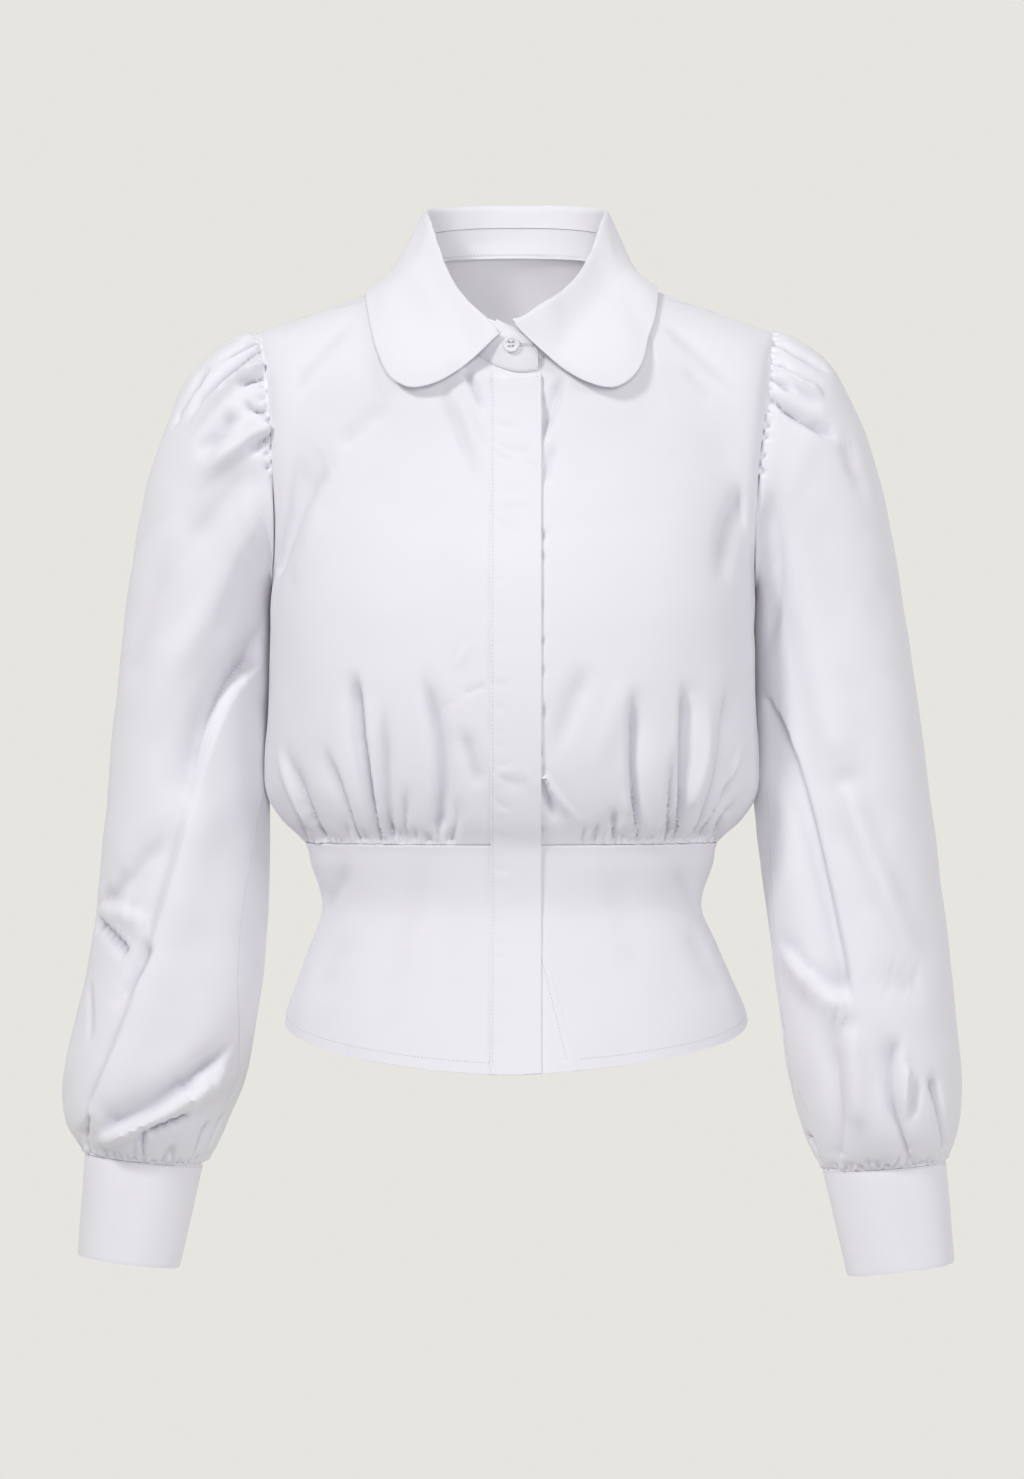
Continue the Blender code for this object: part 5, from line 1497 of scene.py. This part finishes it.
# ---- the collar stand and the round collar ----
collar = {    # turns are degrees around the neck from the front over the wearer's left
    "standEnd": 14.0, "standRound": 0.7, "standBow": 1.2, "standWall": 0.9, "standLift": 2.0,
    "frontShare": 0.86, "backShare": 0.56, "seamRise": 0.25, "standLap": 1.0,
    "standColumns": 260, "standRows": 20, "standFine": (0.012, 0.025),
    "standEdge": 0.3, "standEdgeWide": 0.5, "stitchUp": 1.5, "stitchDip": 0.15, "stitchWide": 0.6,
    "tipLeft": 2.0, "tipRight": 12.0, "shift": -3.0, "tipShift": -6.5, "leftTip": 7.0,
    "leafClear": 3.3, "leafBow": 3.0, "lobeLift": 6.0, "cover": 2.4, "coverEnd": 14.0, "coverFade": 16.0,
    "rollOut": 3.6, "rollDrop": 1.4, "crestOut": 1.6, "crestRise": 1.2,
    "fallPull": 0.24, "fallOut": 0.34, "fallDown": 0.94, "edgePull": 0.20, "edgeUp": 0.62,
    "edgeBack": 0.78, "tipFree": 10.0, "tipRest": 14.0, "passes": 8,
    "leafEdge": 0.32, "leafEdgeWide": 0.55, "wave": 0.25, "waveLong": 23.0,
    "stations": 250, "stationFine": (0.0008, 0.0017), "leafSteps": 18, "leafRows": 60,
    "leafFine": (0.006, 0.012), "wall": 1.0,
    "roll": [    # turn, side, forward, height
        (-15, -18, -73.5, -20.5),
        (0, 0, -79, -30),
        (15, 18, -73.5, -20.5),
        (30, 31.5, -62, -9.5),
        (45, 43, -46, 6),
        (60, 51.5, -27, 26),
        (75, 58, -9, 45),
        (90, 61, 7, 54),
        (110, 60.5, 26, 58.5),
        (135, 47, 46, 62),
        (160, 24, 58, 64.5),
        (180, 0, 61.5, 65),
        (200, -24, 58, 64.5),
    ],
    # by degrees from the front: what is added to the fold line's height on each side and to the
    # stand's foot on the right, and the height of the stand's top at its right end
    "rollRight": [(0, -13), (9.5, -10), (19, -6), (30, -4.6), (45, -3), (60, -2.2), (75, 0), (90, 0)],
    "rollLeft": [(0, 2), (8.5, 4), (19, 4), (27, 3.2), (45, 1.6), (60, -0.8), (75, 0), (90, 0)],
    "standFoot": [(-12, -6.5), (0, -5), (10, -3.2), (20, -1.6), (32, 0), (90, 0)],
    "standTop": [(-12, -49), (-8, -42), (-2.2, -36.5), (7, -30.5), (18.5, -24.5), (30, -17.5)],
    "edge": [    # turn from the tip (0) to the middle of the back (180), side, forward, height
        (0, 4, -85, -36),
        (8, 17, -85, -45),
        (15, 29, -86, -56),
        (24, 43, -86, -67.5),
        (33, 55.5, -87, -73),
        (42, 68, -85, -75.5),
        (51, 78.5, -79, -71),
        (60, 86.5, -70, -61.5),
        (69, 91.5, -60, -48),
        (78, 94.8, -45, -32),
        (87, 97.2, -27, -17),
        (96, 98, -8, -6),
        (107, 97.5, 16, -5),
        (120, 92.5, 40, -4),
        (135, 79, 62, -1),
        (150, 57, 76, 2),
        (165, 29, 84, 4),
        (180, 0, 86, 4.5),
        (195, -29, 84, 4),
    ],
}


def rollPoint(turn):
    # the line the collar folds on; it runs lower on the wearer's right, where the stand laps over
    before = np.asarray(turn) < 0
    turn = np.mod(turn, 360)
    point = aroundNeck(collar["roll"], turn)
    right = along(collar["rollRight"], np.clip(360 - turn, 0, 90))[..., 1]
    left = along(collar["rollLeft"], np.clip(np.where(before, 0, turn), 0, 90))[..., 1]
    point[..., 2] += np.where((turn > 180) & ~before, right, left)
    return point


def aroundNeck(table, turn):
    # 0 front, 90 wearer's left, 180 back, 270 wearer's right
    turn = np.mod(turn, 360)
    side = np.where(turn > 180, -1, 1)
    row = along(table, np.where(turn > 180, 360 - turn, turn))
    return vector(side * row[..., 1], row[..., 2], row[..., 3])


def outward(turn):
    here = aroundNeck(body["neck"], turn)
    ahead = aroundNeck(body["neck"], turn + 2) - aroundNeck(body["neck"], turn - 2)
    side = unit(vector(-ahead[..., 1], ahead[..., 0], 0 * ahead[..., 0]))
    flip = np.sign(side[..., 0] * here[..., 0] + side[..., 1] * here[..., 1])
    return side * flip[..., None]


def standLift(turn):
    return collar["standLift"] * smooth((turn - 300) / 50)


def standPoint(turn, share):
    # share runs from the neck seam (0) to the top edge (1)
    turn, share = np.broadcast_arrays(np.asarray(turn, float), np.asarray(share, float))
    low = aroundNeck(body["neck"], turn)
    roll = rollPoint(turn)
    low = low - unit(roll - low) * collar["standLap"]
    fromFront = np.clip(360 - turn, -12, 90)
    foot = along(collar["standFoot"], fromFront)[..., 1]
    low = low + vector(0 * foot, foot * 0.35, foot)
    folded = np.minimum(np.mod(turn, 360), 360 - np.mod(turn, 360))
    filled = lerp(collar["frontShare"], collar["backShare"], smooth(folded / 110))
    filled = filled * (1 - collar["standRound"] * smooth((turn - 359) / 12))
    high = lerp(low, roll, filled[..., None])
    lapped = smooth((turn - 328) / 10)
    high[..., 2] = lerp(high[..., 2], along(collar["standTop"], fromFront)[..., 1], lapped)
    away = collar["standBow"] * np.sin(pi * share) + standLift(turn)
    return lerp(low, high, share[..., None]) + outward(turn) * away[..., None]


def makeStand():
    end = body["turnPerMm"] * collar["standEnd"]
    turn = np.linspace(-end, 360 + end, collar["standColumns"])[None]
    share = spaced(collar["standRows"], collar["standFine"])[::-1][:, None]
    base = standPoint(turn, share)
    fromTop, fromSeam = fromEnds(base, 0)
    shift = -collar["standEdge"] * bell(np.minimum(fromTop, fromSeam), collar["standEdgeWide"])
    shift = shift - collar["stitchDip"] * bell(fromSeam - collar["stitchUp"], collar["stitchWide"])
    grid = movedOut(base, shift)
    item = clothShell("collarStandCloth", grid, collar["standWall"], bandCloth, base=base)
    finishPiece(item, ["collar_stand"])
    # stitches outside at both front ends, and inside round the back
    normals = -gridNormals(grid)
    row = int(np.abs(fromSeam.mean(1) - collar["stitchUp"]).argmin())
    inner = grid - normals * collar["standWall"]
    back = slice(collar["standColumns"] // 6, -collar["standColumns"] // 6)
    front = (slice(0, collar["standColumns"] // 8), slice(-collar["standColumns"] // 8, -2))
    runs = [(grid[row, part], normals[row, part]) for part in front]
    runs.append((inner[row, back], -normals[row, back]))
    stitchPiece("collarStandStitches", runs)
    return grid


def groundTree():
    # the fronts and the back, on which the collar's leaf lies
    points = []
    faces = []
    for name in ("right_front", "left_front", "back"):
        grid = bodyGrids[name]
        quads = gridQuads(grid.shape[0], grid.shape[1], False)
        start = sum(len(p) for p in points)
        points.append(grid.reshape(-1, 3))
        faces.extend((quads[:, ::-1] + start).tolist())
    return BVHTree.FromPolygons(np.concatenate(points).tolist(), faces)


def pushClear(points, ground, clearance, rest):
    # keeps the leaf off the blouse, and where rest is 1 lays it down there
    found = points.copy()
    for index in np.ndindex(points.shape[:-1]):
        point = Vector(points[index])
        for _ in range(3):
            near, normal, *_ = ground.find_nearest(point)
            if (point - near).dot(normal) < 0 and normal.y > 0.2 and point.y < -20:
                normal = -normal
            height = (point - near).dot(normal)
            if height < clearance[index]:
                point = point + normal * (clearance[index] - height)
        laid = near + normal * clearance[index]
        found[index] = point.lerp(laid, float(rest[index]))
    return found


def smoothLine(keys, count):
    # an even, smooth line through key points, for every station at once
    n = keys.shape[1]
    before = keys[:, [0, *range(n - 1)]]
    after = keys[:, [*range(1, n), n - 1]]
    slope = (after - before) / 2
    t = np.linspace(0, n - 1 - 1e-6, 8 * n)
    i = t.astype(int)
    line = bend((t - i)[None, :, None], keys[:, i], slope[:, i], keys[:, i + 1], slope[:, i + 1])
    length = lengthsAlong(line, 1)
    wanted = spaced(count, collar["leafFine"])
    made = []
    for station in range(len(line)):
        at = wanted * length[station, -1]
        made.append(np.stack([np.interp(at, length[station], line[station, :, k]) for k in range(3)], -1))
    return np.array(made)


def leafKeys():
    # key points of the leaf at each turn: up inside the fold, over it and down to the outer edge
    first = -body["turnPerMm"] * collar["tipLeft"]
    last = 360 - body["turnPerMm"] * collar["tipRight"]
    turn = first + (last - first) * spaced(collar["stations"], collar["stationFine"])
    side = np.where(turn <= 180, 1, -1)
    tip = np.where(turn <= 180, first, last)
    out = outward(turn)
    lift = out * standLift(turn)[:, None]
    roll = rollPoint(turn) + lift
    low = aroundNeck(body["neck"], turn) + lift
    up = unit(roll - low)
    top = standPoint(turn, 1.0)
    leafTurn = 180 * (turn - tip) / (180 - tip)
    row = along(collar["edge"], leafTurn)
    shift = lerp(collar["tipShift"], collar["shift"], smooth(leafTurn / 10))
    edge = vector(side * row[:, 1] + shift, row[:, 2], row[:, 3])
    edge[:, 2] += np.where(side > 0, collar["leftTip"] * (1 - smooth(leafTurn / 8)), 0)
    cover = collar["cover"] * (1 - smooth((turn - collar["coverEnd"]) / collar["coverFade"]))
    cover = np.where(side > 0, cover, 0)
    # near the wearer's right tip the leaf starts outside the stand, which shows above it
    free = smooth((turn - 334) / 9)[:, None]
    riseLow = lerp(top + up * collar["seamRise"] - out * 0.5, roll - up * 3.6 + out * 0.9, free)
    riseHigh = lerp(roll - up * 2.0 - out * 0.5, roll - up * 1.4 + out * 0.9, free)
    over = roll + out * (collar["rollOut"] + cover)[:, None] - up * collar["rollDrop"]
    length = np.linalg.norm(edge - over, axis=1)[:, None]
    fallPull = unit(out * collar["fallOut"] - up * collar["fallDown"]) * length * collar["fallPull"]
    flat = edge - roll
    flat[:, 2] = 0
    edgePull = np.array([0, 0, collar["edgeUp"]]) - unit(flat) * collar["edgeBack"]
    edgePull = edgePull * length * collar["edgePull"]
    crest = roll + up * collar["crestRise"] + out * (collar["crestOut"] + cover / 2)[:, None]
    steps = collar["leafSteps"]
    t = (np.arange(steps + 1) / steps)[None, :, None]
    curve = over[:, None] * (1 - t) ** 3 + (over + fallPull)[:, None] * 3 * t * (1 - t) ** 2 \
        + (edge + edgePull)[:, None] * 3 * t * t * (1 - t) + edge[:, None] * t ** 3
    share = np.broadcast_to(t[..., 0], curve.shape[:2])
    clearance = collar["wall"] + collar["leafClear"] + collar["leafBow"] * np.sin(pi * share)
    lobe = smooth((leafTurn - 8) / 20) * (1 - smooth((leafTurn - 52) / 26))
    clearance = clearance + collar["lobeLift"] * lobe[:, None] * share
    atEdge = smooth((share - 0.8) / 0.2) ** 2
    rest = atEdge * smooth((leafTurn - collar["tipFree"]) / collar["tipRest"])[:, None]
    curve = pushClear(curve, groundTree(), clearance, rest)
    for _ in range(collar["passes"]):
        calmed(curve, 1)
        calmed(curve.swapaxes(0, 1), 1)
    return np.concatenate([np.stack([riseLow, (riseLow + riseHigh) / 2, riseHigh, crest], 1), curve], 1)


def makeCollar():
    base = smoothLine(leafKeys(), collar["leafRows"]).transpose(1, 0, 2)
    fromInside, fromEdge = fromEnds(base, 0)
    fromLeft, fromRight = fromEnds(base, 1)
    rim = np.minimum(fromEdge, np.minimum(fromLeft, fromRight))
    wave = np.sin(fromLeft / collar["waveLong"]) * smooth(fromInside / 30) * smooth(fromEdge / 12)
    grid = movedOut(base, collar["wave"] * wave - collar["leafEdge"] * bell(rim, collar["leafEdgeWide"]))
    item = clothShell("collarCloth", grid, collar["wall"], bandCloth, base=base)
    finishPiece(item, ["collar"])


standGrid = makeStand()
makeCollar()
print("collar made")

# ---- buttons ----
button = {    # profile: how far in from the rim and how high, from the middle of the top to the foot
    "width": 11.4, "hole": 1.5, "spacing": 1.35, "sides": 48,
    "profile": [(3.4, 1.55), (2.4, 1.68), (1.9, 2.05), (1.5, 2.34), (1.05, 2.4), (0.5, 2.33), (0.12, 2.0),
                (0.0, 1.5), (0.12, 0.85), (0.6, 0.3), (1.4, 0.0)],
    "dish": 1.5, "seat": 1.55, "strands": (-0.28, 0.0, 0.28), "strand": 0.17, "strandRise": 0.45,
    "neckPlace": (-3.4, -37.8), "neckLift": 0.6, "cuffLift": 0.45,
}


def buttonMesh():
    profile = [(button["width"] / 2 - inward, height) for inward, height in button["profile"]]
    sides = button["sides"]
    angle = np.arange(sides) * 2 * pi / sides
    rings = [np.stack([r * np.cos(angle), r * np.sin(angle), np.full(sides, h)], -1) for r, h in profile]
    points = np.concatenate([[[0, 0, button["dish"]]], *rings, [[0, 0, 0]]])
    faces = [(0, 1 + k, 1 + (k + 1) % sides) for k in range(sides)]
    for r in range(len(profile) - 1):
        a = 1 + r * sides
        for k in range(sides):
            n = (k + 1) % sides
            faces.append((a + k, a + sides + k, a + sides + n, a + n))
    a = 1 + (len(profile) - 1) * sides
    end = len(points) - 1
    faces += [(end, a + (k + 1) % sides, a + k) for k in range(sides)]
    mesh = newMesh("buttonShape", points, faces, buttonFinish)
    mesh.set_sharp_from_angle(angle=radians(40))
    return mesh


def cutHoles(item):
    # four holes cut out of the button; returns the finished mesh
    work = bmesh.new()
    off = button["spacing"] * mm
    radius = button["hole"] / 2 * mm
    for sx in (-1, 1):
        for sy in (-1, 1):
            made = bmesh.ops.create_cone(work, cap_ends=True, segments=20, radius1=radius,
                                         radius2=radius, depth=12 * mm)
            bmesh.ops.translate(work, verts=made["verts"], vec=(sx * off, sy * off, 0))
    mesh = bpy.data.meshes.new("holePegs")
    work.to_mesh(mesh)
    work.free()
    pegs = newItem("holePegs", mesh)
    cut = item.modifiers.new("holes", "BOOLEAN")
    cut.operation = "DIFFERENCE"
    cut.solver = "EXACT"
    cut.object = pegs
    bpy.context.view_layer.update()
    shape = bpy.data.meshes.new_from_object(item.evaluated_get(bpy.context.evaluated_depsgraph_get()))
    bpy.data.objects.remove(pegs)
    bpy.data.objects.remove(item)
    return shape


def buttonThreads(name):
    # two pairs of holes, each sewn with three strands that arch over and go down into them
    off = button["spacing"]
    t = np.linspace(-1, 1, 9)
    height = button["seat"] + button["strandRise"] * (1 - t ** 4) - 0.5 * t ** 8
    parts = []
    for sy in (-1, 1):
        for strand in button["strands"]:
            line = np.stack([t * off, np.full(9, sy * off + strand), height], -1)
            parts.append(tubeAlong(line, button["strand"]))
    return joined(name, parts, thread)


def placeButton(node, shape, point, facing):
    turn = Vector(facing).normalized().to_track_quat("Z", "Y")
    for item, nodes in ((newItem(node + "Shape", shape), [node]), (buttonThreads(node + "Thread"), [])):
        item.rotation_mode = "QUATERNION"
        item.rotation_quaternion = turn
        item.location = Vector(point) * mm
        finishPiece(item, nodes)


def onStand(x, z):
    # the point of the stand's front end that shows at a place in the picture
    lap = standGrid[:, standGrid.shape[1] * 3 // 4:]
    seenX, seenZ = asSeen(lap)
    far = (seenX - x) ** 2 + (seenZ - z) ** 2
    near = np.argsort(far.ravel())[:4]
    weight = 1 / (far.ravel()[near] + 0.01)
    return (lap.reshape(-1, 3)[near] * weight[:, None]).sum(0) / weight.sum()


def makeButtons():
    shape = cutHoles(newItem("buttonPattern", buttonMesh()))
    x, z = button["neckPlace"]
    point = onStand(x, z)
    ahead = onStand(x + 4, z) - onStand(x - 4, z)
    facing = unit(np.cross(ahead, onStand(x, z + 3) - onStand(x, z - 3)))
    facing = facing * -np.sign(facing[1])
    placeButton("neck_button", shape, point + facing * button["neckLift"], facing)
    for word, side in (("right", -1), ("left", 1)):
        for number, share in enumerate(cuff["buttonShares"], 1):
            # the button's place on the back of the cuff, and a point beside and one below it
            point, beside, below = (cuffPoint(side, cuff[word], swing, down, cuff["lift"])
                                    for swing, down in ((270, share), (276, share), (270, share + 0.1)))
            facing = unit(np.cross(beside - point, below - point))
            facing = facing * np.sign(facing[1])
            placeButton(f"{word}_cuff_button_{number}", shape, point + facing * button["cuffLift"], facing)


makeButtons()
print("buttons made")


buttonhole = {
    "from": -1.0, "to": 14.5, "stitches": 34, "slope": -0.06, "passes": 6,
    "slit": 0.18, "half": 1.25, "thread": 0.17, "sides": 6, "bars": 7, "bar": 1.0,
}


def makeButtonhole():
    # a worked slit that runs level on the stand, under the neck button
    x, z = button["neckPlace"]
    steps = np.linspace(buttonhole["from"], buttonhole["to"], buttonhole["stitches"])
    line = np.array([onStand(x + step, z + buttonhole["slope"] * step) for step in steps])
    line = calmed(line, buttonhole["passes"])
    up = np.broadcast_to(unit(onStand(x, z + 3) - onStand(x, z - 3)), line.shape)
    out = unit(np.cross(np.gradient(line, axis=0), up))
    out = out * -np.sign(out[:, 1:2])
    strands = []
    for sign in (-1, 1):
        for k in range(len(line)):
            a = line[k] + up[k] * buttonhole["slit"] * sign + out[k] * 0.12
            b = line[k] + up[k] * buttonhole["half"] * sign + out[k] * 0.05
            strands.append([a, (a + b) / 2 + out[k] * 0.16, b])
    for k in (0, len(line) - 1):
        for step in np.linspace(-1.0, 1.0, buttonhole["bars"]):
            a = line[k] + up[k] * step + out[k] * 0.15
            b = a + unit(line[-1] - line[0]) * (buttonhole["bar"] if k else -buttonhole["bar"])
            strands.append([a, (a + b) / 2 + out[k] * 0.14, b])
    parts = [tubeAlong(strand, buttonhole["thread"], buttonhole["sides"]) for strand in strands]
    finishPiece(joined("neckButtonhole", parts, thread), [])


makeButtonhole()

# ---- floor, backdrop, lights and camera ----
daylight = (0.99, 0.985, 1.0)
studio = {    # the paper and the lights in metres, the height of the picture in millimetres
    "paper": (0.791, 0.783, 0.745, 1), "floorDepth": -1.15, "floorStart": -0.35, "backdrop": 7.0,
    "paperWide": 23.0, "sweep": 2.0, "pictureHeight": 1035.3,
    "air": (0.93, 0.935, 0.97, 1), "airStrength": 0.26,
    "lights": [    # name, place, target, width, power, colour, spread in degrees
        ("keyLight", (-1.9, -2.3, 1.8), (0, 0, -0.3), 0.7, 50, (1.0, 0.996, 0.992), 180),
        ("fillLight", (2.2, -2.2, 1.0), (0, 0, -0.3), 0.9, 11, daylight, 180),
        ("frontLight", (0.2, -3.3, 0.5), (0, 0, -0.3), 0.9, 27, daylight, 180),
        ("lowLight", (0.0, -3.2, -0.9), (0, 0, -0.5), 0.9, 13, daylight, 180),
        ("sideLight", (2.8, -1.0, 0.2), (0, 0, -0.3), 0.9, 9, daylight, 180),
        ("topLight", (0, -0.2, 3.0), (0, 0, -0.3), 0.9, 9, (1, 1, 1), 180),
        # a faint light inside the neck, for what shines through the thin cloth
        ("neckLight", (0.0, -0.03, -0.11), (0, 0.09, -0.02), 0.04, 0.014, daylight, 90),
    ],
}


def makeBackdrop():
    # a floor that sweeps up into a plain wall behind the blouse
    radius = studio["sweep"]
    back = studio["backdrop"]
    wide = studio["paperWide"]
    low = studio["floorDepth"]
    profile = [(studio["floorStart"], low)]
    for angle in np.linspace(0, pi / 2, 13):
        profile.append((back - radius + radius * np.sin(angle), low + radius - radius * np.cos(angle)))
    profile.append((back, wide))
    points = [(x, y, z) for y, z in profile for x in (-wide, wide)]
    faces = [(2 * k, 2 * k + 1, 2 * k + 3, 2 * k + 2) for k in range(len(profile) - 1)]
    mesh = bpy.data.meshes.new("studioPaper")
    mesh.from_pydata(points, [], faces)
    mesh.update()
    mesh.shade_smooth()
    made = Shader("studioPaper")
    grain = made.node("TexNoise", None, "Fac", Scale=60.0, Detail=2.0)
    rough = 0.9 + (grain - 0.5) * 0.02
    made.set(Base_Color=(0, 0, 0, 1), Roughness=rough, Specular_IOR_Level=0.0,
             Emission_Color=studio["paper"], Emission_Strength=1.0)
    mesh.materials.append(made.material)
    item = newItem("studioPaper", mesh)


def addLight(name, place, target, size, power, color, spread):
    light = bpy.data.lights.new(name, "AREA")
    light.shape = "DISK"
    light.size = size
    light.energy = power
    light.color = color
    light.spread = radians(spread)
    item = newItem(name, light)
    item.location = place
    item.rotation_euler = (Vector(target) - Vector(place)).to_track_quat("-Z", "Y").to_euler()


makeBackdrop()
for row in studio["lights"]:
    addLight(*row)
world = bpy.data.worlds.new("studioAir")
world.use_nodes = True
air = world.node_tree.nodes["Background"].inputs
air["Color"].default_value = studio["air"]
air["Strength"].default_value = studio["airStrength"]
bpy.context.scene.world = world
bpy.context.scene.view_settings.view_transform = "Standard"

cameraData = bpy.data.cameras.new("front")
cameraData.sensor_width = 36.0
cameraData.lens = cameraData.sensor_width * view["distance"] / studio["pictureHeight"]
camera = newItem("front", cameraData)
camera.location = (view["across"] * mm, -view["distance"] * mm, view["height"] * mm)
camera.rotation_euler = (radians(90), 0, 0)
bpy.context.scene.camera = camera
print("studio made")
